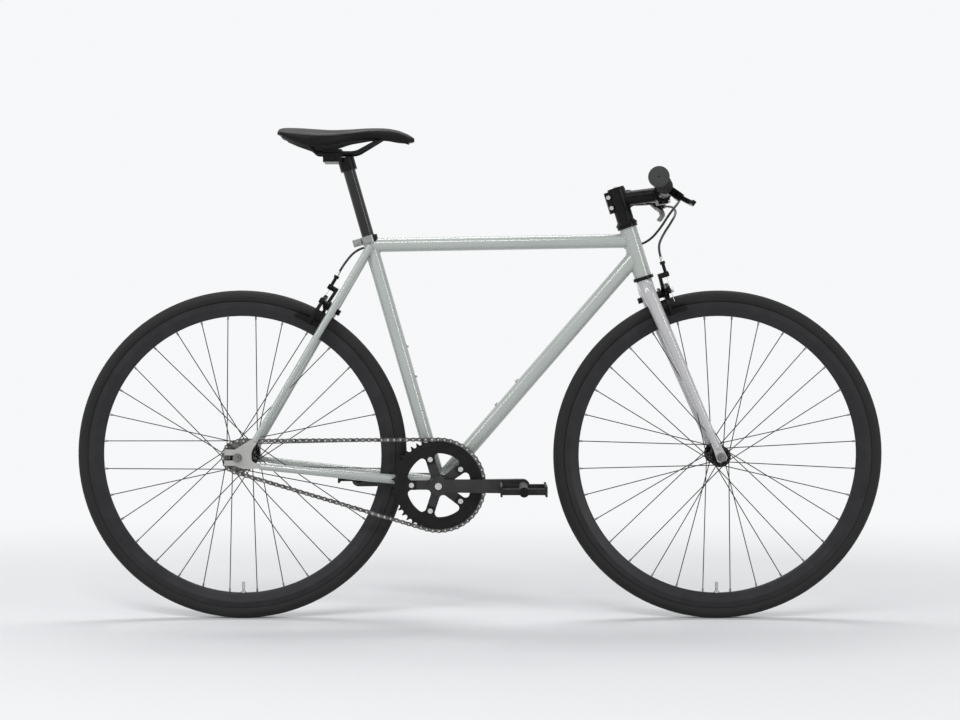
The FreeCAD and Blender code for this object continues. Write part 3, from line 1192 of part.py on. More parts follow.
def build_tyre(end, axle):
    """Tyre and tube have round sections about one centre, at which the tyre's feet reach into the rim."""
    bead_across = RIM_HALF_WIDTH - RIM_FLANGE_WALL - FREE_GAP
    bead_top = RIM_FLANGE_RADIUS - FREE_GAP
    bead_seat = BEAD_SEAT_RADIUS + RUNNING_FIT
    bead_inner = bead_across - TYRE_BEAD_WIDTH
    centre = (TYRE_RADIUS ** 2 - bead_top ** 2 - bead_across ** 2) / (2 * (TYRE_RADIUS - bead_top))
    outer = TYRE_RADIUS - centre
    inner = outer - TYRE_WALL
    inner_foot = centre - math.sqrt(inner ** 2 - bead_inner ** 2)
    add(end + "_tyre", turned(
        axle, (bead_seat, bead_across), (bead_top, bead_across), ((centre, outer), (TYRE_RADIUS, 0)),
        ((centre, -outer), (bead_top, -bead_across)), (bead_seat, -bead_across), (bead_seat, -bead_inner),
        (inner_foot, -bead_inner), ((centre, -inner), (centre + inner, 0)),
        ((centre, inner), (inner_foot, bead_inner)), (bead_seat, bead_inner)))

    section = inner - FREE_GAP
    tube = Part.makeTorus(centre, section, axle, ALONG_Y).cut(
        Part.makeTorus(centre, section - INNER_TUBE_WALL, axle, ALONG_Y))
    stem_start = centre - section + INNER_TUBE_WALL / 2
    stem_end = RIM_INNER_RADIUS - VALVE_LENGTH + VALVE_CAP_LENGTH
    stem = rod(axle + wheel_point(stem_start, VALVE_ANGLE, 0), axle + wheel_point(stem_end, VALVE_ANGLE, 0),
               VALVE_RADIUS)
    nut_top = RIM_INNER_RADIUS - FREE_GAP
    nut_bottom = nut_top - VALVE_NUT_HEIGHT
    nut = sleeve(axle + wheel_point(nut_top, VALVE_ANGLE, 0), axle + wheel_point(nut_bottom, VALVE_ANGLE, 0),
                 VALVE_NUT_RADIUS, VALVE_RADIUS)
    cap = rod(axle + wheel_point(stem_end, VALVE_ANGLE, 0),
              axle + wheel_point(stem_end - VALVE_CAP_LENGTH, VALVE_ANGLE, 0), VALVE_CAP_RADIUS)
    add(end + "_inner_tube", joined(tube, stem))
    add(end + "_inner_tube", nut, cap)


def spoke_layout(flange_radius, flange_spread):
    """One spoke of each kind: elbow, head face, and rim end; the rest repeat round the wheel."""
    step = 360.0 / SPOKES_PER_WHEEL
    cross_angle = SPOKE_CROSSES * 2 * step
    hole_radius = flange_radius - FLANGE_RIM
    half_flange = FLANGE_THICKNESS / 2
    kinds = []
    for index, side in enumerate(SIDES):
        for turn, sign in ((0, 1), (1, -1)):
            rim_angle = VALVE_ANGLE + step * (index + 0.5 + 2 * turn)
            hub_angle = rim_angle + sign * cross_angle
            outside = sign > 0
            elbow_side = half_flange + SPOKE_RADIUS + SPOKE_FLANGE_GAP
            elbow_across = side * (flange_spread + (elbow_side + SPOKE_LIFT if outside else -elbow_side))
            head_across = side * (flange_spread - (half_flange if outside else -half_flange))
            kinds.append((wheel_point(hole_radius, hub_angle, elbow_across),
                          wheel_point(hole_radius, hub_angle, head_across),
                          wheel_point(NIPPLE_SEAT_RADIUS, rim_angle, 0)))
    return kinds


def round_wheel(shape, axle):
    """Copies of a piece all round the wheel, one for every four spokes."""
    copies = []
    count = SPOKES_PER_WHEEL // 4
    for step in range(count):
        copy = shape.copy()
        copy.rotate(ORIGIN, ALONG_Y, step * 360.0 / count)
        copy.translate(axle)
        copies.append(copy)
    return copies


def build_spokes(end, axle, flange_radius, flange_spread):
    """Spokes and nipples; returns the cutters for the rim's and the flanges' holes."""
    rim_cutters = []
    hub_cutters = []
    for elbow, head, rim_end in spoke_layout(flange_radius, flange_spread):
        toward = unit(rim_end - elbow)
        head_out = unit(head - elbow)
        spoke = joined(rod(elbow, rim_end + toward * SPOKE_RADIUS, SPOKE_RADIUS),
                       Part.makeSphere(SPOKE_RADIUS, elbow), rod(elbow, head, SPOKE_RADIUS),
                       rod(head, head + head_out * SPOKE_HEAD_HEIGHT, SPOKE_HEAD_RADIUS))
        nipple = joined(rod(rim_end - toward * NIPPLE_LENGTH, rim_end, NIPPLE_RADIUS),
                        rod(rim_end, rim_end + toward * NIPPLE_HEAD_LENGTH, NIPPLE_HEAD_RADIUS))
        nipple = nipple.cut(rod(elbow, rim_end + toward * NIPPLE_LENGTH, SPOKE_RADIUS + RUNNING_FIT))
        rim_hole = rod(rim_end - toward * NIPPLE_LENGTH, rim_end + toward * NIPPLE_HEAD_LENGTH,
                       NIPPLE_RADIUS + NIPPLE_CLEARANCE)
        flange_hole = rod(elbow, head + head_out * SPOKE_HEAD_HEIGHT, SPOKE_RADIUS + SPOKE_HOLE_CLEARANCE)
        add(end + "_spokes", *round_wheel(spoke, axle))
        add(end + "_nipples", *round_wheel(nipple, axle))
        rim_cutters.extend(round_wheel(rim_hole, axle))
        hub_cutters.extend(round_wheel(flange_hole, axle))
    return rim_cutters, hub_cutters


def build_rim(end, axle, spoke_holes):
    well = BEAD_SEAT_RADIUS - RIM_WELL_DEPTH
    flange_inner = RIM_HALF_WIDTH - RIM_FLANGE_WALL
    tip_radius = RIM_INNER_RADIUS + RIM_TIP_RISE
    well_edge = RIM_WELL_HALF_WIDTH + RIM_WELL_DEPTH
    outer = turned(
        axle, (RIM_FLANGE_RADIUS, RIM_HALF_WIDTH), (RIM_FLANGE_RADIUS, flange_inner),
        (BEAD_SEAT_RADIUS, flange_inner), (BEAD_SEAT_RADIUS, well_edge), (well, RIM_WELL_HALF_WIDTH),
        (well, -RIM_WELL_HALF_WIDTH), (BEAD_SEAT_RADIUS, -well_edge), (BEAD_SEAT_RADIUS, -flange_inner),
        (RIM_FLANGE_RADIUS, -flange_inner), (RIM_FLANGE_RADIUS, -RIM_HALF_WIDTH),
        (RIM_TRACK_RADIUS, -RIM_HALF_WIDTH), (tip_radius, -RIM_TIP_HALF_WIDTH),
        ((RIM_INNER_RADIUS, 0), (tip_radius, RIM_TIP_HALF_WIDTH)), (RIM_TRACK_RADIUS, RIM_HALF_WIDTH))
    roof = well - RIM_BED
    floor = RIM_INNER_RADIUS + RIM_TIP_WALL
    cavity_half = RIM_HALF_WIDTH - RIM_WALL
    floor_half = RIM_TIP_HALF_WIDTH - RIM_WALL / 2
    cavity = turned(
        axle, (roof, cavity_half), (roof, -cavity_half), (RIM_TRACK_RADIUS, -cavity_half),
        (floor, -floor_half), (floor, floor_half), (RIM_TRACK_RADIUS, cavity_half))
    valve_hole = rod(axle + wheel_point(RIM_INNER_RADIUS - RIM_WALL, VALVE_ANGLE, 0),
                     axle + wheel_point(BEAD_SEAT_RADIUS, VALVE_ANGLE, 0),
                     VALVE_RADIUS + VALVE_HOLE_CLEARANCE)
    add(end + "_rim", trimmed(outer, cavity, valve_hole, *spoke_holes))


def hub_outline(shell, flange, spread, left_end, bearing, right_side):
    """Half of the hub section, from the right end's outside to the left end and back along the bore."""
    half_flange = FLANGE_THICKNESS / 2
    shoulder = bearing - HUB_SHOULDER
    right_end = right_side[0][1]
    left_seat = left_end - HUB_BEARING_WIDTH
    right_seat = right_end + HUB_BEARING_WIDTH
    return right_side + [
        (shell, -spread - half_flange), (flange, -spread - half_flange), (flange, -spread + half_flange),
        (shell, -spread + half_flange), (shell, spread - half_flange), (flange, spread - half_flange),
        (flange, spread + half_flange), (shell, spread + half_flange), (shell, left_end),
        (bearing, left_end), (bearing, left_seat), (shoulder, left_seat), (shoulder, right_seat),
        (bearing, right_seat), (bearing, right_end)]


def build_axle(end, axle, radius, stub_radius, spacing, plate, right_end, left_end):
    """The fixed axle with its lock nuts, washers and nuts."""
    washer_start = spacing / 2 + plate
    nut_start = washer_start + AXLE_WASHER_THICKNESS
    nut_end = nut_start + AXLE_NUT_HEIGHT
    shaft = joined(y_rod(axle, radius, nut_end), y_rod(axle, stub_radius, nut_end + AXLE_STUB_LENGTH))
    add(end + "_axle", shaft)
    for side, hub_end in ((-1, right_end), (1, left_end)):
        aside = ALONG_Y * side
        lock_nut = y_sleeve(axle, hub_end + side * END_GAP, side * spacing / 2, LOCK_NUT_RADIUS, radius)
        washer = y_sleeve(axle, side * washer_start, side * nut_start, AXLE_WASHER_RADIUS, radius)
        nut = hexagon(axle + aside * nut_start, axle + aside * nut_end, AXLE_NUT_ACROSS_FLATS)
        add(end + "_axle", lock_nut, washer, nut.cut(y_rod(axle, radius, nut_end)))


def build_wheel(end, axle, axle_radius, flange, spread, shell, bearing, right_side):
    build_tyre(end, axle)
    rim_holes, flange_holes = build_spokes(end, axle, flange, spread)
    build_rim(end, axle, rim_holes)
    left_end = spread + FLANGE_THICKNESS / 2 + HUB_END_LENGTH
    section = hub_outline(shell, flange, spread, left_end, bearing, right_side)
    add(end + "_hub", trimmed(turned(axle, *section), *flange_holes))
    right_end = right_side[0][1]
    for hub_end, inward in ((right_end, HUB_BEARING_WIDTH), (left_end, -HUB_BEARING_WIDTH)):
        add(end + "_hub", y_sleeve(axle, hub_end, hub_end + inward, bearing, axle_radius + RUNNING_FIT))
    return right_end, left_end


COG_INNER_FACE = -CHAIN_LINE + TOOTH_THICKNESS / 2
COG_OUTER_FACE = -CHAIN_LINE - TOOTH_THICKNESS / 2
LOCK_RING_END = COG_OUTER_FACE - LOCK_RING_THICKNESS


def build_wheels():
    front_right = -FRONT_FLANGE_SPREAD - FLANGE_THICKNESS / 2 - HUB_END_LENGTH
    ends = build_wheel("front", FRONT_AXLE, FRONT_AXLE_RADIUS, FRONT_FLANGE_RADIUS, FRONT_FLANGE_SPREAD,
                       FRONT_HUB_RADIUS, FRONT_BEARING_RADIUS, [(FRONT_HUB_RADIUS, front_right)])
    build_axle("front", FRONT_AXLE, FRONT_AXLE_RADIUS, FRONT_AXLE_STUB_RADIUS, FRONT_HUB_SPACING,
               FORK_END_THICKNESS, *ends)
    cog_seat = [(COG_HUB_RADIUS, LOCK_RING_END), (COG_HUB_RADIUS, COG_INNER_FACE),
                (COG_SHOULDER_RADIUS, COG_INNER_FACE),
                (COG_SHOULDER_RADIUS, -REAR_FLANGE_SPREAD - FLANGE_THICKNESS / 2 - HUB_END_LENGTH),
                (REAR_HUB_RADIUS, -REAR_FLANGE_SPREAD - FLANGE_THICKNESS / 2 - HUB_END_LENGTH)]
    ends = build_wheel("rear", REAR_AXLE, REAR_AXLE_RADIUS, REAR_FLANGE_RADIUS, REAR_FLANGE_SPREAD,
                       REAR_HUB_RADIUS, REAR_BEARING_RADIUS, cog_seat)
    build_axle("rear", REAR_AXLE, REAR_AXLE_RADIUS, REAR_AXLE_STUB_RADIUS, REAR_HUB_SPACING,
               TRACK_END_THICKNESS, *ends)


# Drive
CHAIN_OUT = unit(BB - REAR_AXLE)
CHAIN_UP = CHAIN_OUT.cross(ALONG_Y)
CHAIN_PINS = [BB + CHAIN_OUT * ahead + CHAIN_UP * above - ALONG_Y * CHAIN_LINE
              for ahead, above in chain_walk(CHAIN_STAY_DISTANCE)[0]]
CRANK_INNER_FACE = BB_SHELL_WIDTH / 2 + CUP_FLANGE_THICKNESS + CRANK_TO_CUP_GAP
CRANK_OUTER_FACE = CRANK_ARM_INSET + CRANK_ARM_THICKNESS
SPIDER_INNER_FACE = COG_INNER_FACE + SPIDER_THICKNESS


def direction_from(centre, point):
    return math.atan2(point.z - centre.z, point.x - centre.x)


def toothed_disc(centre, teeth, rolling_pin):
    """A sprocket blank whose tooth gaps line up with one pin of the chain."""
    pitch = pitch_radius(teeth)
    seat = ROLLER_RADIUS + ROLLER_SEAT_CLEARANCE
    seat_rise = seat * math.cos(math.radians(ROLLER_SEAT_ANGLE))
    seat_half = seat * math.sin(math.radians(ROLLER_SEAT_ANGLE))
    step = 2 * math.pi / teeth
    tip = pitch + TOOTH_TIP_HEIGHT
    first = direction_from(centre, rolling_pin)

    def at(radial, sideways, angle):
        return centre + Vector(radial * math.cos(angle) - sideways * math.sin(angle), COG_OUTER_FACE,
                               radial * math.sin(angle) + sideways * math.cos(angle))

    moves = []
    for tooth in range(teeth):
        gap = first + tooth * step
        moves.append(((pitch - seat, 0, gap), (pitch - seat_rise, seat_half, gap)))
        moves.append((tip, -TOOTH_TIP_HALF_WIDTH, gap + step / 2))
        moves.append((tip, TOOTH_TIP_HALF_WIDTH, gap + step / 2))
        moves.append((pitch - seat_rise, -seat_half, gap + step))
    face = outline(at, (pitch - seat_rise, -seat_half, first), *moves)
    return face.extrude(ALONG_Y * TOOTH_THICKNESS)


def spider_point(radius, angle, across):
    return BB + Vector(radius * math.cos(angle), across, radius * math.sin(angle))


def spider_window(middle):
    """The rounded opening between two arms of the spider."""
    half_step = math.pi / SPIDER_ARMS
    inner = SPIDER_ARM_HALF_WIDTH / math.sin(half_step)
    corner = half_step - math.asin(SPIDER_ARM_HALF_WIDTH / WINDOW_RADIUS)
    face = outline(lambda radius, angle: spider_point(radius, middle + angle, COG_OUTER_FACE),
                   (inner, 0), (WINDOW_RADIUS, -corner), ((WINDOW_RADIUS, 0), (WINDOW_RADIUS, corner)))
    prism = face.extrude(ALONG_Y * (SPIDER_INNER_FACE - COG_OUTER_FACE))
    upright = [edge for edge in prism.Edges if abs(edge.tangentAt(edge.FirstParameter).y) > 0.9]
    return prism.makeFillet(WINDOW_CORNER, upright)


def crank_arm(side):
    """Boss and arm of one crank; the right one points forward, the left one back."""
    face = outline(lambda along, above: BB + Vector(-side * along, side * CRANK_ARM_INSET, above),
                   (0, CRANK_ROOT_HALF_HEIGHT), (CRANK_LENGTH, CRANK_TIP_HALF_HEIGHT),
                   ((CRANK_LENGTH + CRANK_TIP_HALF_HEIGHT, 0), (CRANK_LENGTH, -CRANK_TIP_HALF_HEIGHT)),
                   (0, -CRANK_ROOT_HALF_HEIGHT))
    arm = face.extrude(ALONG_Y * side * CRANK_ARM_THICKNESS)
    aside = ALONG_Y * side
    boss = rod(BB + aside * CRANK_INNER_FACE, BB + aside * CRANK_OUTER_FACE, CRANK_BOSS_RADIUS)
    return joined(arm, boss)


def build_cranks():
    spindle_half = CRANK_OUTER_FACE - 2 * CRANK_BOLT_HEIGHT
    spindle = y_rod(BB, SPINDLE_RADIUS, spindle_half)
    add("crank_hardware", spindle)
    windows = [spider_window(2 * math.pi * index / SPIDER_ARMS) for index in range(SPIDER_ARMS)]
    spider = rod(BB + ALONG_Y * COG_INNER_FACE, BB + ALONG_Y * SPIDER_INNER_FACE, SPIDER_RADIUS).cut(windows)
    ring_bore = rod(BB + ALONG_Y * COG_OUTER_FACE, BB + ALONG_Y * COG_INNER_FACE, RING_BORE_RADIUS)
    bolt_holes = []
    for index in range(SPIDER_ARMS):
        angle = 2 * math.pi * (index + 0.5) / SPIDER_ARMS
        outer = spider_point(RING_BOLT_CIRCLE_RADIUS, angle, COG_OUTER_FACE)
        inner = spider_point(RING_BOLT_CIRCLE_RADIUS, angle, SPIDER_INNER_FACE)
        head = ALONG_Y * RING_BOLT_HEAD_HEIGHT
        shank = rod(outer, inner, RING_BOLT_RADIUS)
        bolt_holes.append(shank)
        add("crank_hardware", joined(shank, rod(outer - head, outer, RING_BOLT_HEAD_RADIUS),
                                     rod(inner, inner + head, RING_BOLT_HEAD_RADIUS)))
    add("chainring", trimmed(toothed_disc(BB, RING_TEETH, CHAIN_PINS[0]), ring_bore, *windows, *bolt_holes))
    for side, name in zip(SIDES, ("right", "left")):
        aside = ALONG_Y * side
        bolt_end = CRANK_OUTER_FACE + CRANK_BOLT_HEIGHT
        bolt = rod(BB + aside * spindle_half, BB + aside * bolt_end, CRANK_BOLT_RADIUS)
        pedal_at = BB - ALONG_X * side * CRANK_LENGTH
        thread = rod(pedal_at + aside * CRANK_ARM_INSET, pedal_at + aside * CRANK_OUTER_FACE,
                     PEDAL_THREAD_RADIUS)
        arm = crank_arm(side)
        if name == "right":
            arm = joined(arm, spider)
        add(name + "_crank", trimmed(arm, spindle, bolt, thread, *bolt_holes))
        add("crank_hardware", bolt)
        build_pedal(side, name, pedal_at, thread)


def build_pedal(side, name, centre, thread):
    collar_end = CRANK_OUTER_FACE + PEDAL_COLLAR_LENGTH
    body_start = collar_end + END_GAP
    body_end = body_start + PEDAL_BODY_LENGTH
    nut_start = body_end + END_GAP
    nut_end = nut_start + PEDAL_END_NUT_LENGTH

    def turned_part(start, end, radius):
        return rod(centre + ALONG_Y * side * start, centre + ALONG_Y * side * end, radius)

    axle = joined(thread, turned_part(CRANK_OUTER_FACE, collar_end, PEDAL_COLLAR_RADIUS),
                  turned_part(collar_end, nut_end, PEDAL_AXLE_RADIUS),
                  turned_part(nut_start, nut_end, PEDAL_END_NUT_RADIUS))
    add("crank_hardware", axle)

    def bar(near_x, far_x, start, end, half_height):
        across = sorted((side * start, side * end))
        return block(centre + Vector(near_x, across[0], -half_height),
                     centre + Vector(far_x, across[1], half_height))

    cage_start = body_start + PEDAL_RIB_WIDTH / 2
    cage_end = body_end - PEDAL_RIB_WIDTH / 2
    inside = PEDAL_HALF_LENGTH - PEDAL_CAGE_WALL
    bars = [bar(-PEDAL_HALF_LENGTH, -inside, cage_start, cage_end, PEDAL_HALF_HEIGHT),
            bar(inside, PEDAL_HALF_LENGTH, cage_start, cage_end, PEDAL_HALF_HEIGHT),
            bar(-inside, inside, cage_start, cage_start + PEDAL_RIB_WIDTH, PEDAL_RIB_HALF_HEIGHT),
            bar(-inside, inside, cage_end - PEDAL_RIB_WIDTH, cage_end, PEDAL_RIB_HALF_HEIGHT)]
    body = joined(turned_part(body_start, body_end, PEDAL_BODY_RADIUS), *bars)
    add(name + "_pedal", trimmed(body, turned_part(collar_end, nut_end, PEDAL_AXLE_RADIUS + RUNNING_FIT)))


def link_plate(start, end):
    face = outline(lambda along, above: Vector(along, start, above), (0, PLATE_RADIUS),
                   ((CHAIN_PITCH / 2, PLATE_WAIST), (CHAIN_PITCH, PLATE_RADIUS)),
                   ((CHAIN_PITCH + PLATE_RADIUS, 0), (CHAIN_PITCH, -PLATE_RADIUS)),
                   ((CHAIN_PITCH / 2, -PLATE_WAIST), (0, -PLATE_RADIUS)),
                   ((-PLATE_RADIUS, 0), (0, PLATE_RADIUS)))
    return face.extrude(ALONG_Y * (end - start))


def build_chain():
    inner_face = INNER_PLATE_GAP / 2
    outer_face = inner_face + PLATE_THICKNESS
    cover_face = outer_face + PLATE_CLEARANCE
    pin_half = cover_face + PLATE_THICKNESS + PIN_STICK_OUT
    ends = (ORIGIN, ALONG_X * CHAIN_PITCH)
    inner_link = joined(link_plate(inner_face, outer_face), link_plate(-outer_face, -inner_face),
                        *[y_rod(end, ROLLER_RADIUS, inner_face) for end in ends])
    inner_link = trimmed(inner_link, *[y_rod(end, PIN_RADIUS + RUNNING_FIT, outer_face) for end in ends])
    outer_link = joined(link_plate(cover_face, cover_face + PLATE_THICKNESS),
                        link_plate(-cover_face - PLATE_THICKNESS, -cover_face),
                        *[y_rod(end, PIN_RADIUS, pin_half) for end in ends])
    for index, pin in enumerate(CHAIN_PINS):
        along = unit(CHAIN_PINS[(index + 1) % CHAIN_LINKS] - pin)
        link = inner_link if index % 2 else outer_link
        add("chain", placed(link, pin, along, along.cross(ALONG_Y)))


def build_drive():
    cog_pin = min(CHAIN_PINS, key=lambda pin: (pin - REAR_AXLE).x)
    cog_bore = y_rod(REAR_AXLE, COG_HUB_RADIUS, -LOCK_RING_END)
    add("rear_cog", trimmed(toothed_disc(REAR_AXLE, COG_TEETH, cog_pin), cog_bore))
    add("rear_cog", y_sleeve(REAR_AXLE, COG_OUTER_FACE, LOCK_RING_END, LOCK_RING_RADIUS, COG_HUB_RADIUS))
    build_cranks()
    build_chain()


# Seatpost and saddle
SADDLE_ORIGIN = on_seat_tube(SEATPOST_TOP)


def on_saddle(along, across, height):
    return SADDLE_ORIGIN + Vector(along, across, height)


def saddle_sizes(along):
    """Half width, top and skirt height at a place along the saddle, between its stations."""
    for here, ahead in zip(SADDLE_STATIONS, SADDLE_STATIONS[1:]):
        if here[0] <= along <= ahead[0]:
            share = (along - here[0]) / (ahead[0] - here[0])
            return [low + (high - low) * share for low, high in zip(here[1:], ahead[1:])]


def saddle_arch(half_width, top, skirt):
    """Half width of the underside, and a function giving its height at any place across."""
    low_half = half_width - min(SADDLE_TUCK, half_width / 4)
    middle = max(skirt + SADDLE_LEAST_ARCH, top - SADDLE_FOAM)
    rise = middle - skirt
    radius = (low_half ** 2 + rise ** 2) / (2 * rise)
    return low_half, lambda across: middle - radius + math.sqrt(radius ** 2 - across ** 2)


def cover_section(along, half_width, top, skirt):
    low_half, arch = saddle_arch(half_width, top, skirt)
    shoulder = top - SADDLE_CROWN_START - SADDLE_CROWN_SHARE * half_width
    shoulder_half = half_width * SADDLE_SHOULDER_SHARE
    side = (skirt + shoulder) / 2
    face = outline(lambda across, height: on_saddle(along, across, height), (low_half, skirt),
                   ((half_width, side), (shoulder_half, shoulder)), ((0, top), (-shoulder_half, shoulder)),
                   ((-half_width, side), (-low_half, skirt)), ((0, arch(0)), (low_half, skirt)))
    return face.OuterWire


def base_section(along, half_width, top, skirt):
    low_half, arch = saddle_arch(half_width, top, skirt)
    half = low_half - SADDLE_BASE_INSET
    upper = -FREE_GAP
    lower = upper - SADDLE_BASE_THICKNESS
    face = outline(lambda across, height: on_saddle(along, across, height), (half, arch(half) + lower),
                   (half, arch(half) + upper), ((0, arch(0) + upper), (-half, arch(half) + upper)),
                   (-half, arch(half) + lower), ((0, arch(0) + lower), (half, arch(half) + lower)))
    return face.OuterWire


def rail_end(place, side):
    """A point in the middle of the saddle base, above a rail's end."""
    along, across = place
    arch = saddle_arch(*saddle_sizes(along))[1]
    return on_saddle(along, side * across, arch(across) - FREE_GAP - SADDLE_BASE_THICKNESS / 2)


def build_saddle():
    cover = Part.makeLoft([cover_section(*station) for station in SADDLE_STATIONS], True, True)
    base = Part.makeLoft([base_section(*station) for station in SADDLE_STATIONS[1:-1]], True, True)
    add("saddle_cover", cover)
    add("saddle_base", trimmed(base, cover))
    rails = []
    for side in SIDES:
        points = [rail_end(RAIL_REAR_END, side), on_saddle(RAIL_REAR_X, side * RAIL_SPREAD, RAIL_HEIGHT),
                  on_saddle(RAIL_FRONT_X, side * RAIL_SPREAD, RAIL_HEIGHT), rail_end(RAIL_FRONT_END, side)]
        rail = bent_rod(bent_path(points, (RAIL_REAR_BEND, RAIL_FRONT_BEND)), RAIL_RADIUS)
        rails.append(trimmed(rail, base, cover))
    add("saddle_rails", *rails)
    return rails


def build_seat():
    rails = build_saddle()
    top = on_seat_tube(SEATPOST_TOP)
    bottom = on_seat_tube(SEAT_TUBE_LENGTH - SEATPOST_INSERT)
    post = rod(bottom, top, SEATPOST_RADIUS)
    add("seatpost", sleeve(bottom, top, SEATPOST_RADIUS, SEATPOST_RADIUS - SEATPOST_WALL))
    ring = rod(on_seat_tube(SEATPOST_TOP - CLAMP_RING_HEIGHT), on_seat_tube(SEATPOST_TOP + CLAMP_RING_LID),
               CLAMP_RING_RADIUS)
    split = CLAMP_SPLIT / 2

    def clamp_block(low, high):
        return block(on_saddle(CLAMP_X - CLAMP_HALF_LENGTH, -CLAMP_HALF_WIDTH, low),
                     on_saddle(CLAMP_X + CLAMP_HALF_LENGTH, CLAMP_HALF_WIDTH, high))

    lower = clamp_block(RAIL_HEIGHT - split - CLAMP_BLOCK_HEIGHT, RAIL_HEIGHT - split)
    cap = clamp_block(RAIL_HEIGHT + split, RAIL_HEIGHT + CLAMP_CAP_HEIGHT)
    bolt_at = on_saddle(CLAMP_X, 0, RAIL_HEIGHT - CLAMP_BOLT_DROP)
    shank = y_rod(bolt_at, CLAMP_BOLT_RADIUS, CLAMP_HALF_WIDTH)
    head_end = CLAMP_HALF_WIDTH + CLAMP_BOLT_HEAD_HEIGHT
    heads = [rod(bolt_at + ALONG_Y * side * CLAMP_HALF_WIDTH, bolt_at + ALONG_Y * side * head_end,
                 CLAMP_BOLT_HEAD_RADIUS) for side in SIDES]
    add("saddle_clamp", trimmed(joined(lower, ring), post, shank, *rails))
    add("saddle_clamp", trimmed(cap, *rails))
    add("saddle_clamp", joined(shank, *heads))


# Brake cables: outer casing in straight runs and arcs, bare wire below each adjuster
def eased_radii(points):
    """The largest bend at each inner point that keeps clear of its neighbours."""
    radii = []
    for before, corner, after in zip(points, points[1:], points[2:]):
        half_turn = (math.pi - (before - corner).getAngle(after - corner)) / 2
        shorter = min((before - corner).Length, (after - corner).Length)
        radii.append(CABLE_BEND_SHARE * shorter / math.tan(half_turn))
    return radii


def build_cable(end, points):
    top, bottom, tail, up = caliper_cable_points(end)
    finish = top + up * FERRULE_LENGTH
    points = points + [finish + up * CABLE_LEAD, finish]
    radii = eased_radii(points)
    path = bent_path(points, radii)
    print(end, "cable length", round(path.Length), "bend radii", [round(radius) for radius in radii])
    add(end + "_brake_cable", bent_rod(path, CABLE_RADIUS), rod(bottom, tail, WIRE_RADIUS))
    add(end + "_centre_arm", rod(top, finish, FERRULE_RADIUS))


def lever_end_points(side):
    """The start of a cable: its place in the lever, and the end of its straight run towards the stem."""
    start = lever_cable_exit(side)
    return [start, start - bar_out(side) * CABLE_LEAVE]


def beside_top_tube(share):
    """A point of the cable's straight run beside the top tube, a share of the way back from the head."""
    angle = math.radians(GUIDE_ANGLE)
    side = ALONG_Y * math.cos(angle) - ALONG_Z * math.sin(angle)
    away = TOP_TUBE_RADIUS + GUIDE_WALL + CABLE_RADIUS
    return between(TOP_TUBE_FRONT, TOP_TUBE_REAR, share) + side * away


def from_point(point, offsets):
    return [point + Vector(*offset) for offset in offsets]


def build_cables():
    build_cable("front", lever_end_points(1) + from_point(BAR_CENTRE, FRONT_CABLE_ROUTE))
    build_cable("rear", lever_end_points(-1) + from_point(BAR_CENTRE, REAR_CABLE_FROM_LEVER)
                + [beside_top_tube(share) for share in CABLE_RUN_SHARES]
                + from_point(TOP_TUBE_REAR, REAR_CABLE_TO_BRAKE))
    tube = rod(TOP_TUBE_REAR, TOP_TUBE_FRONT, TOP_TUBE_RADIUS)
    half_guide = unit(TOP_TUBE_FRONT - TOP_TUBE_REAR) * GUIDE_LENGTH / 2
    for share in GUIDE_SHARES:
        middle = beside_top_tube(share)
        guide = sleeve(middle - half_guide, middle + half_guide, CABLE_RADIUS + 2 * GUIDE_WALL, CABLE_RADIUS)
        add("frame_fittings", trimmed(guide, tube))


build_main_frame()
build_frame_fittings()
build_fork()
build_headset_top()
build_stem()
build_handlebar()
build_brakes()
build_wheels()
build_drive()
build_seat()
build_cables()

os.makedirs("parts", exist_ok=True)
for node, solids in NODES.items():
    shape = solids[0] if len(solids) == 1 else Part.makeCompound(solids)
    shape.exportStep("parts/" + node + ".step")
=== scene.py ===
import math

import bpy
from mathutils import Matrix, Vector


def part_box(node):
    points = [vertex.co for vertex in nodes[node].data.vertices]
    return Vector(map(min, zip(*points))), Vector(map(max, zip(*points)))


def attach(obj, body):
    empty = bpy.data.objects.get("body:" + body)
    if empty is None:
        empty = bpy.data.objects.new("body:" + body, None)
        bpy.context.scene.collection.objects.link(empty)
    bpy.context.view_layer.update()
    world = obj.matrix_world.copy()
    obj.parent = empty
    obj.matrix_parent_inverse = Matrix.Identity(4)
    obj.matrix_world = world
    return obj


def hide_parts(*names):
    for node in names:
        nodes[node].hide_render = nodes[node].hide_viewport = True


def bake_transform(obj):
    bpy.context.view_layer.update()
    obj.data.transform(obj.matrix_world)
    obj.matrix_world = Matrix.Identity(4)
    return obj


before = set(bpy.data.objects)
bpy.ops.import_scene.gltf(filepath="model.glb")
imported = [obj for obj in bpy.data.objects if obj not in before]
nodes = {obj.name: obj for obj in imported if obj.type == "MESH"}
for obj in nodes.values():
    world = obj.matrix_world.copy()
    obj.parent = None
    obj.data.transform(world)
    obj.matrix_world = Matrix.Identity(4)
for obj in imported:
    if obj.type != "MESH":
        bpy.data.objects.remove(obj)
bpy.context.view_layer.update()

# Places of the bicycle's main lines, in millimetres, as in the CAD model
MILLIMETRE = 0.001
CROSSWISE = (0, 1, 0)
REAR_AXLE = (-488.0, 0.0, 337.5)
FRONT_AXLE = (488.0, 0.0, 337.5)
BOTTOM_BRACKET = (-83.84, 0.0, 280.0)
PEDAL_AXLES = ((86.16, 0.0, 280.0), (-253.84, 0.0, 280.0))
STEER_FOOT = (452.43, 0.0, 326.28)
STEER_UP = (-0.300706, 0.0, 0.953717)
SEAT_UP = (-0.275637, 0.0, 0.961262)
TOP_TUBE_REAR = (-223.59, 0.0, 767.36)
TOP_TUBE_FRONT = (310.52, 0.0, 776.34)
DOWN_TUBE_FRONT = (319.69, 0.0, 747.25)
SADDLE_ORIGIN = (-273.75, 0.0, 942.31)
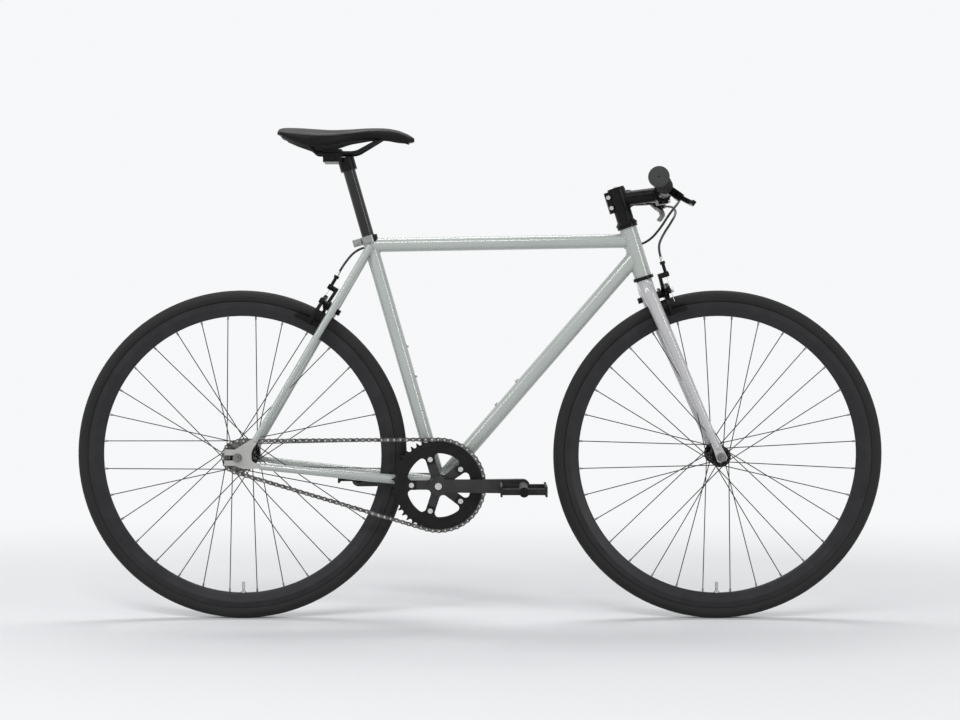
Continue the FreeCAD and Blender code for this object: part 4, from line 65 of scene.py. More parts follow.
BAR_CENTRE = (369.75, 0.0, 871.94)
HEAD_TUBE_RADIUS = 18.0
SEAT_TUBE_RADIUS = 14.3
TOP_TUBE_RADIUS = 14.3
DOWN_TUBE_RADIUS = 15.9
SHELL_RADIUS = 20.0
CHAIN_STAY_RADIUS = 11.0

# Where each brake cable ends: the ferrule of its adjuster and the anchor bolt on the other arm
FRONT_FERRULE = (366.66, -24, 743.29)
FRONT_ANCHOR = (388.2, -24, 675.1)
FRONT_ANCHOR_OUT = (0.9537, 0, 0.3007)
REAR_FERRULE = (-289.7, 24, 714.2)
REAR_ANCHOR = (-325.9, 24, 652.6)
REAR_ANCHOR_OUT = (-0.863, 0, 0.506)
REAR_BRAKE_UP = (0.506, 0.0, 0.863)


def metres(point):
    return Vector(point) * MILLIMETRE


# Materials
NOISE_LOW = 0.3
NOISE_HIGH = 0.7
GRAIN_DETAIL = 2.0


def new_material(name):
    mat = bpy.data.materials.new(name)
    mat.use_nodes = True
    tree = mat.node_tree
    return mat, tree.nodes, tree.links, tree.nodes["Principled BSDF"]


def noise_node(tree_nodes, links, vector, scale, detail=3.0):
    node = tree_nodes.new("ShaderNodeTexNoise")
    node.inputs["Scale"].default_value = scale
    node.inputs["Detail"].default_value = detail
    links.new(vector, node.inputs["Vector"])
    return node.outputs["Fac"]


def spread(tree_nodes, links, value, low, high):
    """A noise value stretched to a range round its middle."""
    node = tree_nodes.new("ShaderNodeMapRange")
    node.inputs["From Min"].default_value = NOISE_LOW
    node.inputs["From Max"].default_value = NOISE_HIGH
    node.inputs["To Min"].default_value = low
    node.inputs["To Max"].default_value = high
    links.new(value, node.inputs["Value"])
    return node.outputs["Result"]


def surface(name, dark, light, rough, rough_range, mottle, grain, bump, metallic=0.0, bump_depth=0.0002,
            coat=0.0, coat_rough=0.15, rounding=0.0, specular=0.5):
    """A finish with slow colour changes, uneven gloss and a fine grain."""
    mat, tree_nodes, links, shader = new_material(name)
    place = tree_nodes.new("ShaderNodeTexCoord").outputs["Object"]
    broad = noise_node(tree_nodes, links, place, mottle)
    fine = noise_node(tree_nodes, links, place, grain, GRAIN_DETAIL)
    ramp = tree_nodes.new("ShaderNodeValToRGB")
    ramp.color_ramp.elements[0].position = NOISE_LOW
    ramp.color_ramp.elements[0].color = (*dark, 1.0)
    ramp.color_ramp.elements[1].position = NOISE_HIGH
    ramp.color_ramp.elements[1].color = (*light, 1.0)
    links.new(broad, ramp.inputs["Fac"])
    links.new(ramp.outputs["Color"], shader.inputs["Base Color"])
    links.new(spread(tree_nodes, links, broad, rough - rough_range, rough + rough_range),
              shader.inputs["Roughness"])
    shader.inputs["Metallic"].default_value = metallic
    shader.inputs["Specular IOR Level"].default_value = specular
    shader.inputs["Coat Weight"].default_value = coat
    shader.inputs["Coat Roughness"].default_value = coat_rough
    relief = tree_nodes.new("ShaderNodeBump")
    relief.inputs["Strength"].default_value = bump
    relief.inputs["Distance"].default_value = bump_depth
    links.new(fine, relief.inputs["Height"])
    if rounding:
        edge = tree_nodes.new("ShaderNodeBevel")
        edge.samples = 4
        edge.inputs["Radius"].default_value = rounding
        links.new(edge.outputs["Normal"], relief.inputs["Normal"])
    links.new(relief.outputs["Normal"], shader.inputs["Normal"])
    return mat


FINISHES = {
    "frame_paint": dict(dark=(0.355, 0.385, 0.362), light=(0.385, 0.415, 0.392), rough=0.27, rough_range=0.03,
                        mottle=6.0, grain=140.0, bump=0.008, coat=1.0, coat_rough=0.08),
    "fork_paint": dict(dark=(0.44, 0.438, 0.448), light=(0.47, 0.468, 0.478), rough=0.27, rough_range=0.03,
                       mottle=6.0, grain=140.0, bump=0.008, coat=1.0, coat_rough=0.08),
    "plate_paint": dict(dark=(0.39, 0.39, 0.37), light=(0.44, 0.44, 0.42), rough=0.4, rough_range=0.05,
                        mottle=40.0, grain=700.0, bump=0.08, coat=0.2, rounding=0.0006),
    "black_satin": dict(dark=(0.004, 0.004, 0.0041), light=(0.007, 0.007, 0.0072), rough=0.3,
                        rough_range=0.06, mottle=60.0, grain=1600.0, bump=0.12, rounding=0.0007,
                        specular=0.13),
    "black_gloss": dict(dark=(0.006, 0.006, 0.0062), light=(0.010, 0.010, 0.0103), rough=0.17,
                        rough_range=0.04, mottle=40.0, grain=1500.0, bump=0.05, rounding=0.0006,
                        specular=0.4),
    "rim_black": dict(dark=(0.015, 0.015, 0.0165), light=(0.022, 0.022, 0.0238), rough=0.38,
                      rough_range=0.05, mottle=30.0, grain=1200.0, bump=0.08, specular=0.22),
    "crank_alloy": dict(dark=(0.020, 0.020, 0.021), light=(0.030, 0.030, 0.031), rough=0.34, rough_range=0.06,
                        mottle=50.0, grain=1400.0, bump=0.08, metallic=0.25, rounding=0.0012, specular=0.4),
    "ring_black": dict(dark=(0.008, 0.008, 0.008), light=(0.013, 0.013, 0.013), rough=0.34, rough_range=0.05,
                       mottle=40.0, grain=1300.0, bump=0.08, rounding=0.0005, specular=0.13),
    "silver": dict(dark=(0.50, 0.50, 0.50), light=(0.60, 0.60, 0.59), rough=0.26, rough_range=0.06,
                   mottle=90.0, grain=1800.0, bump=0.06, metallic=1.0, rounding=0.0004),
    "collar_grey": dict(dark=(0.24, 0.245, 0.24), light=(0.31, 0.315, 0.31), rough=0.36, rough_range=0.06,
                        mottle=60.0, grain=1500.0, bump=0.08, metallic=0.8, rounding=0.0006),
    "grey_steel": dict(dark=(0.17, 0.17, 0.17), light=(0.25, 0.25, 0.245), rough=0.34, rough_range=0.07,
                       mottle=120.0, grain=1800.0, bump=0.08, metallic=1.0, rounding=0.0004),
    # The chain and cog steel's wide dark-to-light mottle is painted glints, standing in for the sparkle of
    # light on the links.
    "chain_steel": dict(dark=(0.03, 0.0295, 0.028), light=(0.20, 0.197, 0.19), rough=0.3, rough_range=0.08,
                        mottle=120.0, grain=2000.0, bump=0.1, metallic=0.9),
    "spoke_black": dict(dark=(0.030, 0.030, 0.032), light=(0.045, 0.045, 0.047), rough=0.32, rough_range=0.05,
                        mottle=80.0, grain=1600.0, bump=0.05, metallic=0.6),
    "rubber": dict(dark=(0.010, 0.010, 0.010), light=(0.016, 0.016, 0.016), rough=0.72, rough_range=0.07,
                   mottle=50.0, grain=1300.0, bump=0.35, specular=0.2),
    "tyre_rubber": dict(dark=(0.013, 0.013, 0.0128), light=(0.020, 0.020, 0.0197), rough=0.66,
                        rough_range=0.08, mottle=18.0, grain=1100.0, bump=0.3, specular=0.2),
    "grip_rubber": dict(dark=(0.030, 0.031, 0.030), light=(0.042, 0.043, 0.042), rough=0.74, rough_range=0.06,
                        mottle=45.0, grain=1200.0, bump=0.4, specular=0.35),
    "cable_skin": dict(dark=(0.010, 0.010, 0.010), light=(0.015, 0.015, 0.015), rough=0.3, rough_range=0.05,
                       mottle=60.0, grain=1500.0, bump=0.05),
    "pedal_plastic": dict(dark=(0.008, 0.008, 0.008), light=(0.013, 0.013, 0.013), rough=0.5,
                          rough_range=0.07, mottle=60.0, grain=1100.0, bump=0.3, rounding=0.0009,
                          specular=0.22),
    "saddle_skin": dict(dark=(0.004, 0.004, 0.004), light=(0.007, 0.007, 0.0069), rough=0.4,
                        rough_range=0.06, mottle=20.0, grain=750.0, bump=0.35, bump_depth=0.00025,
                        specular=0.12),
    "saddle_shell": dict(dark=(0.006, 0.006, 0.006), light=(0.009, 0.009, 0.009), rough=0.5,
                         rough_range=0.05, mottle=60.0, grain=1300.0, bump=0.2, specular=0.1),
}
MATERIALS = {name: surface(name, **finish) for name, finish in FINISHES.items()}

NODE_MATERIALS = {
    "frame_paint": ("head_tube", "top_tube", "down_tube", "seat_tube", "bottom_bracket_shell", "chain_stays",
                    "seat_stays"),
    "fork_paint": ("fork_crown", "fork_blades"),
    "plate_paint": ("track_ends",),
    "black_satin": ("frame_bearings", "headset_spacers", "stem", "handlebar", "brake_lever_brackets",
                    "front_brake_lever", "rear_brake_lever", "front_centre_arm", "front_pivot_arm",
                    "rear_centre_arm", "rear_pivot_arm", "front_caliper_mount", "rear_caliper_mount",
                    "saddle_clamp", "saddle_rails", "front_hub", "rear_hub"),
    "black_gloss": ("seatpost",),
    "rim_black": ("front_rim", "rear_rim"),
    "crank_alloy": ("right_crank", "left_crank"),
    "ring_black": ("chainring",),
    "silver": ("cockpit_bolts", "crank_hardware", "frame_fittings"),
    "collar_grey": ("seat_clamp",),
    "grey_steel": ("front_axle", "rear_axle", "front_nipples", "rear_nipples"),
    "chain_steel": ("chain", "rear_cog"),
    "spoke_black": ("front_spokes", "rear_spokes"),
    "rubber": ("front_inner_tube", "rear_inner_tube", "front_centre_pad", "front_pivot_pad",
               "rear_centre_pad", "rear_pivot_pad"),
    "tyre_rubber": ("front_tyre", "rear_tyre"),
    "grip_rubber": ("grips",),
    "cable_skin": ("front_brake_cable", "rear_brake_cable"),
    "pedal_plastic": ("right_pedal", "left_pedal"),
    "saddle_skin": ("saddle_cover",),
    "saddle_shell": ("saddle_base",),
}

for finish, names in NODE_MATERIALS.items():
    for name in names:
        nodes[name].data.materials.clear()
        nodes[name].data.materials.append(MATERIALS[finish])


# Long tube walls keep their own normals at the mitred ends
for name in ("head_tube", "top_tube", "down_tube", "seat_tube", "chain_stays", "seat_stays", "fork_blades",
             "handlebar", "seatpost", "bottom_bracket_shell"):
    even = nodes[name].modifiers.new("even_normals", "WEIGHTED_NORMAL")
    even.weight = 100
    even.keep_sharp = True


# Mesh helpers
NEARLY_CROSSWISE = 0.9


def turns(count):
    """Angles of even steps round a circle."""
    return [2 * math.pi * step / count for step in range(count)]


def ring_faces(rings, count, close_rings):
    """Quads between rings of points; the last ring joins the first where asked."""
    faces = []
    for ring in range(rings if close_rings else rings - 1):
        here = ring * count
        following = (ring + 1) % rings * count
        for step in range(count):
            ahead = (step + 1) % count
            faces.append((here + step, here + ahead, following + ahead, following + step))
    return faces


def frame_from(direction):
    """The direction at length one, and two directions square to it."""
    direction = Vector(direction).normalized()
    helper = Vector(CROSSWISE) if abs(direction.y) < NEARLY_CROSSWISE else Vector((1, 0, 0))
    first = direction.cross(helper).normalized()
    return direction, first, direction.cross(first)


def add_object(name, vertices, faces, finish, body):
    mesh = bpy.data.meshes.new(name)
    mesh.from_pydata([tuple(v) for v in vertices], [], faces)
    mesh.validate()
    obj = bpy.data.objects.new(name, mesh)
    bpy.context.scene.collection.objects.link(obj)
    mesh.materials.append(MATERIALS[finish])
    for face in mesh.polygons:
        face.use_smooth = True
    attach(obj, body)
    return obj


# Tyres: a round section with a shallow slanted tread and thin ribs on the side walls
TYRE_CENTRE = 324.145
TYRE_SECTION = 13.355
TYRE_WALL = 3.2
TYRE_EDGE_RADIUS = 314.1
TYRE_BEAD_RADIUS = 311.2
TYRE_BEAD_HALF = 8.8
OUTER_ROWS = 30
INNER_ROWS = 10
TREAD_STEPS = 720
TREAD_PERIOD = 6
TREAD_SLANT = 2
TREAD_ANGLE = 58.0
GROOVE_DEPTH = 0.55
RIB_ANGLES = (84.0, 88.0, 118.0)
RIB_HEIGHT = 0.28
RIB_WIDTH = 1.6


def tyre_profile():
    """Section points as (radius, across, row on the tread or None), the outside first."""
    end_angle = math.degrees(math.acos((TYRE_EDGE_RADIUS - TYRE_CENTRE) / TYRE_SECTION))
    points = []
    for row in range(-OUTER_ROWS, OUTER_ROWS + 1):
        angle = end_angle * row / OUTER_ROWS
        lift = sum(RIB_HEIGHT * math.exp(-((abs(angle) - rib) / RIB_WIDTH) ** 2) for rib in RIB_ANGLES)
        turn = math.radians(angle)
        reach = TYRE_SECTION + lift
        points.append((TYRE_CENTRE + reach * math.cos(turn), reach * math.sin(turn),
                       row if abs(angle) < TREAD_ANGLE else None))
    points.append((TYRE_BEAD_RADIUS, TYRE_BEAD_HALF, None))
    points.append((TYRE_BEAD_RADIUS, TYRE_BEAD_HALF - TYRE_WALL, None))
    inner = TYRE_SECTION - TYRE_WALL
    for row in range(INNER_ROWS, -INNER_ROWS - 1, -1):
        turn = math.radians(end_angle * row / INNER_ROWS)
        points.append((TYRE_CENTRE + inner * math.cos(turn), inner * math.sin(turn), None))
    points.append((TYRE_BEAD_RADIUS, TYRE_WALL - TYRE_BEAD_HALF, None))
    points.append((TYRE_BEAD_RADIUS, -TYRE_BEAD_HALF, None))
    return points


def build_tyre(name, axle, node, body):
    """A tyre whose grooves leave the middle row of the tread whole."""
    profile = tyre_profile()
    vertices = []
    for step, turn in enumerate(turns(TREAD_STEPS)):
        for radius, across, row in profile:
            if row and (step + abs(row) // TREAD_SLANT) % TREAD_PERIOD == 0:
                radius -= GROOVE_DEPTH
            vertices.append(metres((axle[0] + radius * math.cos(turn), across,
                                    axle[2] + radius * math.sin(turn))))
    faces = ring_faces(TREAD_STEPS, len(profile), True)
    obj = add_object(name, vertices, faces, "tyre_rubber", body)
    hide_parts(node)


build_tyre("front_tyre_tread", FRONT_AXLE, "front_tyre", "front_wheel")
build_tyre("rear_tyre_tread", REAR_AXLE, "rear_tyre", "rear_wheel")


# Grips: soft fins between a collar and a wide end disc with a small hole
GRIP_LENGTH = 125.0
GRIP_CAP = 3.0
GRIP_END = GRIP_LENGTH + GRIP_CAP
GRIP_RADIUS = 16.0
GRIP_STEPS = 64
BAR_RADIUS = 11.15
BAR_END_OFFSET = (-38.4, 280.0, 10.6)
BAR_CORNER = 100.0
FIRST_FIN = 8.0
FIN_ROOT = 14.4
FIN_PITCH = 4.0
FIN_COUNT = 26
NECK_RADIUS = 15.0
DISC_RADIUS = 20.0
DISC_LENGTH = 5.0
# Along the grip, then radius; the fin from its own start, the disc back from the grip's end
COLLAR_SHAPE = ((0.0, BAR_RADIUS), (0.0, GRIP_RADIUS - 0.8), (0.8, GRIP_RADIUS), (7.0, GRIP_RADIUS))
FIN_SHAPE = ((0.0, FIN_ROOT), (1.2, FIN_ROOT), (1.7, GRIP_RADIUS - 0.2), (2.2, GRIP_RADIUS),
             (3.0, GRIP_RADIUS), (3.5, GRIP_RADIUS - 0.2))
DISC_SHAPE = ((6.5, GRIP_RADIUS), (4.6, DISC_RADIUS - 1.6), (3.6, DISC_RADIUS - 0.3), (2.6, DISC_RADIUS),
              (1.4, DISC_RADIUS - 0.2), (0.5, DISC_RADIUS - 1.0), (0.0, DISC_RADIUS - 2.4), (0.0, 3.0),
              (0.3, 2.0), (2.0, 1.7), (2.0, 0.05))


def bar_end(side):
    return Vector(BAR_CENTRE) + Vector((BAR_END_OFFSET[0], side * BAR_END_OFFSET[1], BAR_END_OFFSET[2]))


def bar_out(side):
    return (bar_end(side) - Vector(BAR_CENTRE) - Vector((0, side * BAR_CORNER, 0))).normalized()


def grip_profile():
    """(along, radius) from the bore's inner end, over the outside, to the hole in the end disc."""
    points = list(COLLAR_SHAPE)
    for fin in range(FIN_COUNT):
        start = FIRST_FIN + FIN_PITCH * fin
        points += [(start + along, radius) for along, radius in FIN_SHAPE]
    points.append((FIRST_FIN + FIN_PITCH * FIN_COUNT, NECK_RADIUS))
    points += [(GRIP_END - back, radius) for back, radius in DISC_SHAPE]
    return points


def build_grip(side, name):
    axis, first, second = frame_from(bar_out(side))
    start = bar_end(side) - axis * GRIP_LENGTH
    profile = grip_profile()
    vertices = []
    for along, radius in profile:
        for turn in turns(GRIP_STEPS):
            vertices.append(metres(start + axis * along
                                   + (first * math.cos(turn) + second * math.sin(turn)) * radius))
    faces = ring_faces(len(profile), GRIP_STEPS, False)
    last = (len(profile) - 1) * GRIP_STEPS
    faces.append(tuple(range(last, last + GRIP_STEPS)))
    obj = add_object(name, vertices, faces, "grip_rubber", "steering")
    obj.data.materials.append(MATERIALS["rubber"])
    for face in obj.data.polygons:
        along = (face.center / MILLIMETRE - start).dot(axis)
        face.material_index = 0 if along > GRIP_END - DISC_LENGTH else 1
    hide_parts("grips")


build_grip(1, "left_grip_fins")
build_grip(-1, "right_grip_fins")


# Saddle cover: rings between stations (along, half width, top, skirt), eased and rounded at both ends
SADDLE_STATIONS = ((-134.0, 50.0, 61.0, 43.0), (-124.0, 60.0, 63.0, 39.0), (-104.0, 69.0, 63.0, 28.0),
                   (-66.0, 72.0, 61.0, 13.0), (-27.0, 58.0, 59.0, 19.0), (9.0, 40.0, 60.5, 29.0),
                   (49.0, 28.0, 63.0, 36.0), (84.0, 23.0, 62.5, 33.0), (109.0, 20.0, 58.0, 28.0),
                   (129.0, 15.0, 50.0, 30.0), (140.0, 8.0, 43.0, 34.0))
SADDLE_RINGS = 72
SADDLE_POINTS = 64
SADDLE_FOAM = 15.0
SADDLE_TUCK = 5.0
SKIRT_LIP = 1.5
SHOULDER_DROP = 3.0
SHOULDER_SLOPE = 0.14
ARCH_WIDTH = 0.93
# Powers below one square off a round ring
SIDE_POWER = 0.62
CROWN_POWER = 0.55
TUCK_POWER = 0.7
ARCH_POWER = 0.8
UNDER_POWER = 0.4
# End rings as (along from the end station, share of the full size)
TAIL_RINGS = ((-1.0, 0.08), (-1.0, 0.6), (-0.6, 0.9))
NOSE_RINGS = ((0.0, 0.82), (0.0, 0.5), (0.0, 0.08))
TAIL_INSET = 1.2
BOTH_INSETS = 2.0


def eased(before, low, high, after, share):
    """A smooth value between two stations, looking at the ones beside them."""
    square = share * share
    cube = square * share
    return 0.5 * ((2 * low) + (high - before) * share + (2 * before - 5 * low + 4 * high - after) * square
                  + (3 * low - before - 3 * high + after) * cube)


def saddle_sizes(along):
    """Half width, top and skirt at a place along the saddle."""
    last = len(SADDLE_STATIONS) - 1
    for index in range(last):
        here, ahead = SADDLE_STATIONS[index], SADDLE_STATIONS[index + 1]
        if along <= ahead[0] or index == last - 1:
            before = SADDLE_STATIONS[max(index - 1, 0)]
            after = SADDLE_STATIONS[min(index + 2, last)]
            share = min(max((along - here[0]) / (ahead[0] - here[0]), 0.0), 1.0)
            return [eased(before[k], here[k], ahead[k], after[k], share) for k in (1, 2, 3)]


def saddle_ring(along, shrink):
    """One closed ring: over the crown, round the skirt and back under the arch."""
    half, top, skirt = saddle_sizes(along)
    middle = (top + skirt) / 2
    under = max(skirt + SKIRT_LIP, top - SADDLE_FOAM)
    shoulder = top - SHOULDER_DROP - SHOULDER_SLOPE * half
    waist = (skirt + shoulder) / 2
    points = []
    for turn in turns(SADDLE_POINTS):
        sideways, upward = math.cos(turn), math.sin(turn)
        across = half * math.copysign(abs(sideways) ** SIDE_POWER, sideways)
        if upward >= 0:
            crown = shoulder + (top - shoulder) * (1 - (across / half) ** 2)
            height = waist + (crown - waist) * upward ** CROWN_POWER
        else:
            across *= 1 - min(SADDLE_TUCK, half / 4) / half * (-upward) ** TUCK_POWER
            bow = max(0.0, 1 - (across / (half * ARCH_WIDTH)) ** 2) ** ARCH_POWER
            arch = skirt + (under - skirt) * bow
            height = waist + (arch - waist) * (-upward) ** UNDER_POWER
        points.append((along, across * shrink, middle + (height - middle) * shrink))
    return points


def build_saddle():
    first, last = SADDLE_STATIONS[0][0], SADDLE_STATIONS[-1][0]
    rings = [saddle_ring(first + along, shrink) for along, shrink in TAIL_RINGS]
    run = last - first - BOTH_INSETS
    for index in range(SADDLE_RINGS + 1):
        rings.append(saddle_ring(first + TAIL_INSET + run * index / SADDLE_RINGS, 1.0))
    rings += [saddle_ring(last + along, shrink) for along, shrink in NOSE_RINGS]
    vertices = [metres(Vector(SADDLE_ORIGIN) + Vector(point)) for ring in rings for point in ring]
    faces = ring_faces(len(rings), SADDLE_POINTS, False)
    faces.append(tuple(range(SADDLE_POINTS)))
    base = (len(rings) - 1) * SADDLE_POINTS
    faces.append(tuple(range(base + SADDLE_POINTS - 1, base - 1, -1)))
    cover = add_object("saddle_cover_skin", vertices, faces, "saddle_skin", "seat")
    smooth = cover.modifiers.new("ease", "SMOOTH")
    smooth.factor = 0.5
    smooth.iterations = 3
    rounding = cover.modifiers.new("rounding", "SUBSURF")
    rounding.levels = 1
    rounding.render_levels = 1
    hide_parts("saddle_cover")


build_saddle()


# Cables: smooth casings through the same places as the CAD tubes, and bare wire below each adjuster
CABLE_RADIUS = 2.5
WIRE_RADIUS = 0.8
FRONT_CABLE = ((391.03, 120.27, 854.53), (396.24, 95.86, 853.09), (403.75, 55, 847.9), (403.75, 18, 833.9),
               (389.75, -6, 812.9), (371.75, -20, 787.9), (360.65, -24, 762.36), FRONT_FERRULE)
FRONT_WIRE = ((379.59, -24, 702.28), (387.5, -24, 677.2), (395.38, -24, 652.21))
REAR_CABLE = ((391.03, -120.27, 854.53), (396.24, -95.86, 853.09), (394.75, -55, 845.9),
              (383.75, -22, 828.9), (369.75, 2, 802.9), (351.75, 22, 779.9), (327.75, 32, 767.9),
              (285.0, 25.0, 767.6), (235.75, 17.2, 768.83), (190.0, 17.2, 768.1), (43.5, 17.2, 765.6),
              (-103.0, 17.2, 763.2), (-148.8, 17.2, 762.4), (-191.6, 24, 766.4), (-225.6, 28, 767.4),
              (-256.6, 27.5, 758.4), (-279.6, 24, 731.5), REAR_FERRULE)
REAR_WIRE = ((-311.44, 24, 677.13), (-324.7, 24, 654.5), (-337.99, 24, 631.84))


def build_curve(name, points, radius, finish):
    """A round tube along a smooth line near the points."""
    curve = bpy.data.curves.new(name, "CURVE")
    curve.dimensions = "3D"
    curve.bevel_depth = radius * MILLIMETRE
    curve.bevel_resolution = 5
    curve.use_fill_caps = True
    spline = curve.splines.new("NURBS")
    spline.points.add(len(points) - 1)
    for target, place in zip(spline.points, points):
        target.co = (*metres(place), 1.0)
    spline.order_u = 3
    spline.use_endpoint_u = True
    spline.resolution_u = 10
    line = bpy.data.objects.new(name + "_line", curve)
    bpy.context.scene.collection.objects.link(line)
    bpy.context.view_layer.update()
    mesh = bpy.data.meshes.new_from_object(line.evaluated_get(bpy.context.evaluated_depsgraph_get()))
    bpy.data.objects.remove(line)
    tube = bpy.data.objects.new(name, mesh)
    bpy.context.scene.collection.objects.link(tube)
    mesh.materials.clear()
    mesh.materials.append(MATERIALS[finish])
    for face in mesh.polygons:
        face.use_smooth = True
        face.material_index = 0
    return tube


front_casing = build_curve("front_cable_casing", FRONT_CABLE, CABLE_RADIUS, "cable_skin")
front_wire = build_curve("front_cable_wire", FRONT_WIRE, WIRE_RADIUS, "silver")
rear_casing = build_curve("rear_cable_casing", REAR_CABLE, CABLE_RADIUS, "cable_skin")
rear_wire = build_curve("rear_cable_wire", REAR_WIRE, WIRE_RADIUS, "silver")
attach(front_casing, "steering")
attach(front_wire, "front_centre_arm")
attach(rear_wire, "rear_centre_arm")
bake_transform(rear_casing)
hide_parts("front_brake_cable")
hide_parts("rear_brake_cable")


# A raised lip round the chainring, inside its teeth
LIP_RADIUS = 82.0
LIP_HALF_WIDTH = 1.6
LIP_HEIGHT = 1.1
LIP_SINK = 0.4
LIP_STEPS = 180
LIP_CORNERS = 10


def build_ring_lip():
    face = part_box("chainring")[0][1] / MILLIMETRE + LIP_SINK
    vertices = []
    for turn in turns(LIP_STEPS):
        for bend in turns(LIP_CORNERS):
            radius = LIP_RADIUS + LIP_HALF_WIDTH * math.cos(bend)
            vertices.append(metres((BOTTOM_BRACKET[0] + radius * math.cos(turn),
                                    face + LIP_HEIGHT * math.sin(bend),
                                    BOTTOM_BRACKET[2] + radius * math.sin(turn))))
    faces = ring_faces(LIP_STEPS, LIP_CORNERS, True)
    add_object("chainring_lip", vertices, faces, "ring_black", "crankset")


build_ring_lip()


# Weld beads where the frame tubes meet; a main tube is its centre, its axis and its radius
WELD_RADIUS = 1.9
WELD_STEPS = 120
WELD_CORNERS = 8
WELD_RIPPLES = 44
RIPPLE_SHARE = 0.10
HEAD_TUBE = (STEER_FOOT, STEER_UP, HEAD_TUBE_RADIUS)
SEAT_TUBE = (BOTTOM_BRACKET, SEAT_UP, SEAT_TUBE_RADIUS)
SHELL = (BOTTOM_BRACKET, CROSSWISE, SHELL_RADIUS)
STAY_FROM_BRACKET = (-6, 19, 1)
STAY_FROM_AXLE = (44, 63, -17.5)


def meeting_point(start, direction, centre, axis, radius):
    """Where a line from inside a tube first leaves that tube's surface."""
    offset = start - centre
    across = direction - axis * direction.dot(axis)
    apart = offset - axis * offset.dot(axis)
    square = across.dot(across)
    half = across.dot(apart)
    rest = max(half * half - square * (apart.dot(apart) - radius * radius), 0.0)
    return start + direction * ((-half + math.sqrt(rest)) / square)


def build_weld(name, start, toward, tube_radius, main_tube):
    """A rippled bead round a tube that starts inside a main tube and leaves it."""
    centre, axis, main_radius = main_tube
    direction, first, second = frame_from(Vector(toward) - Vector(start))
    line = []
    for turn in turns(WELD_STEPS):
        out = first * math.cos(turn) + second * math.sin(turn)
        line.append((meeting_point(Vector(start) + out * tube_radius, direction, Vector(centre),
                                   Vector(axis).normalized(), main_radius), out))
    vertices = []
    for step, (place, out) in enumerate(line):
        along = (line[(step + 1) % WELD_STEPS][0] - line[step - 1][0]).normalized()
        side = along.cross(out).normalized()
        ripple = math.sin(2 * math.pi * WELD_RIPPLES * step / WELD_STEPS)
        size = WELD_RADIUS * (1 + RIPPLE_SHARE * ripple)
        for turn in turns(WELD_CORNERS):
            vertices.append(metres(place + (out * math.cos(turn) + side * math.sin(turn)) * size))
    faces = ring_faces(WELD_STEPS, WELD_CORNERS, True)
    add_object(name, vertices, faces, "frame_paint", "frame")


def beside(place, offset, side):
    """A place moved by an offset whose sideways share is to the given side."""
    return Vector(place) + Vector((offset[0], side * offset[1], offset[2]))


build_weld("weld_top_tube_head", TOP_TUBE_FRONT, TOP_TUBE_REAR, TOP_TUBE_RADIUS, HEAD_TUBE)
build_weld("weld_down_tube_head", DOWN_TUBE_FRONT, BOTTOM_BRACKET, DOWN_TUBE_RADIUS, HEAD_TUBE)
build_weld("weld_top_tube_seat", TOP_TUBE_REAR, TOP_TUBE_FRONT, TOP_TUBE_RADIUS, SEAT_TUBE)
build_weld("weld_seat_tube_shell", BOTTOM_BRACKET, Vector(BOTTOM_BRACKET) + Vector(SEAT_UP), SEAT_TUBE_RADIUS,
           SHELL)
build_weld("weld_down_tube_shell", BOTTOM_BRACKET, DOWN_TUBE_FRONT, DOWN_TUBE_RADIUS, SHELL)
for side, side_name in ((-1, "right"), (1, "left")):
    build_weld("weld_chain_stay_" + side_name, beside(BOTTOM_BRACKET, STAY_FROM_BRACKET, side),
               beside(REAR_AXLE, STAY_FROM_AXLE, side), CHAIN_STAY_RADIUS, SHELL)


# Finishes of small pieces that share a node with others, and a painted dark reflection on the seat collar's
# front side
PIN_END_DEPTH = 0.3
SEAT_TUBE_LEAN = 0.28675
COLLAR_HEIGHT = 785.6
COLLAR_FRONT = -219
GUIDES_FROM = 8
# Round zones about a line: radius, low end, high end
PEDAL_AXLE_ZONE = (12, -200, 200)
VALVE_ZONE = (296, -20, 20)
STEERER_ZONE = (14.4, 388, 600)
ADJUSTER_ZONE = (4.2, -14, 8)
ANCHOR_ZONE = (5.2, -1, 14)


def repaint(name, finish, wanted):
    """Give another finish to the faces of a node whose middle, in millimetres, passes the test."""
    mesh = nodes[name].data
    mesh.materials.append(MATERIALS[finish])
    index = len(mesh.materials) - 1
    for face in mesh.polygons:
        if wanted(face.center / MILLIMETRE):
            face.material_index = index


def near_line(start, direction, zone):
    """A test for points inside a round zone about a line."""
    radius, low, high = zone
    start = Vector(start)
    direction = Vector(direction).normalized()

    def inside(point):
        offset = point - start
        along = offset.dot(direction)
        return low <= along <= high and (offset - direction * along).length <= radius

    return inside


for pedal_axle in PEDAL_AXLES:
    repaint("crank_hardware", "black_satin", near_line(pedal_axle, CROSSWISE, PEDAL_AXLE_ZONE))
chain_near, chain_far = [corner[1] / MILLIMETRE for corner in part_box("chain")]
repaint("chain", "silver", lambda p: not chain_near + PIN_END_DEPTH < p.y < chain_far - PIN_END_DEPTH)
# The black on the seat collar's front side is a painted dark reflection on the polished collar.
repaint("seat_clamp", "black_satin", lambda p: p.x + SEAT_TUBE_LEAN * (p.z - COLLAR_HEIGHT) > COLLAR_FRONT)
repaint("front_inner_tube", "silver", near_line(FRONT_AXLE, CROSSWISE, VALVE_ZONE))
repaint("rear_inner_tube", "silver", near_line(REAR_AXLE, CROSSWISE, VALVE_ZONE))
repaint("frame_fittings", "frame_paint", lambda p: p.y > GUIDES_FROM)
repaint("fork_crown", "grey_steel", near_line(STEER_FOOT, STEER_UP, STEERER_ZONE))
repaint("front_centre_arm", "silver", near_line(FRONT_FERRULE, STEER_UP, ADJUSTER_ZONE))
repaint("rear_centre_arm", "silver", near_line(REAR_FERRULE, REAR_BRAKE_UP, ADJUSTER_ZONE))
repaint("front_pivot_arm", "silver", near_line(FRONT_ANCHOR, FRONT_ANCHOR_OUT, ANCHOR_ZONE))
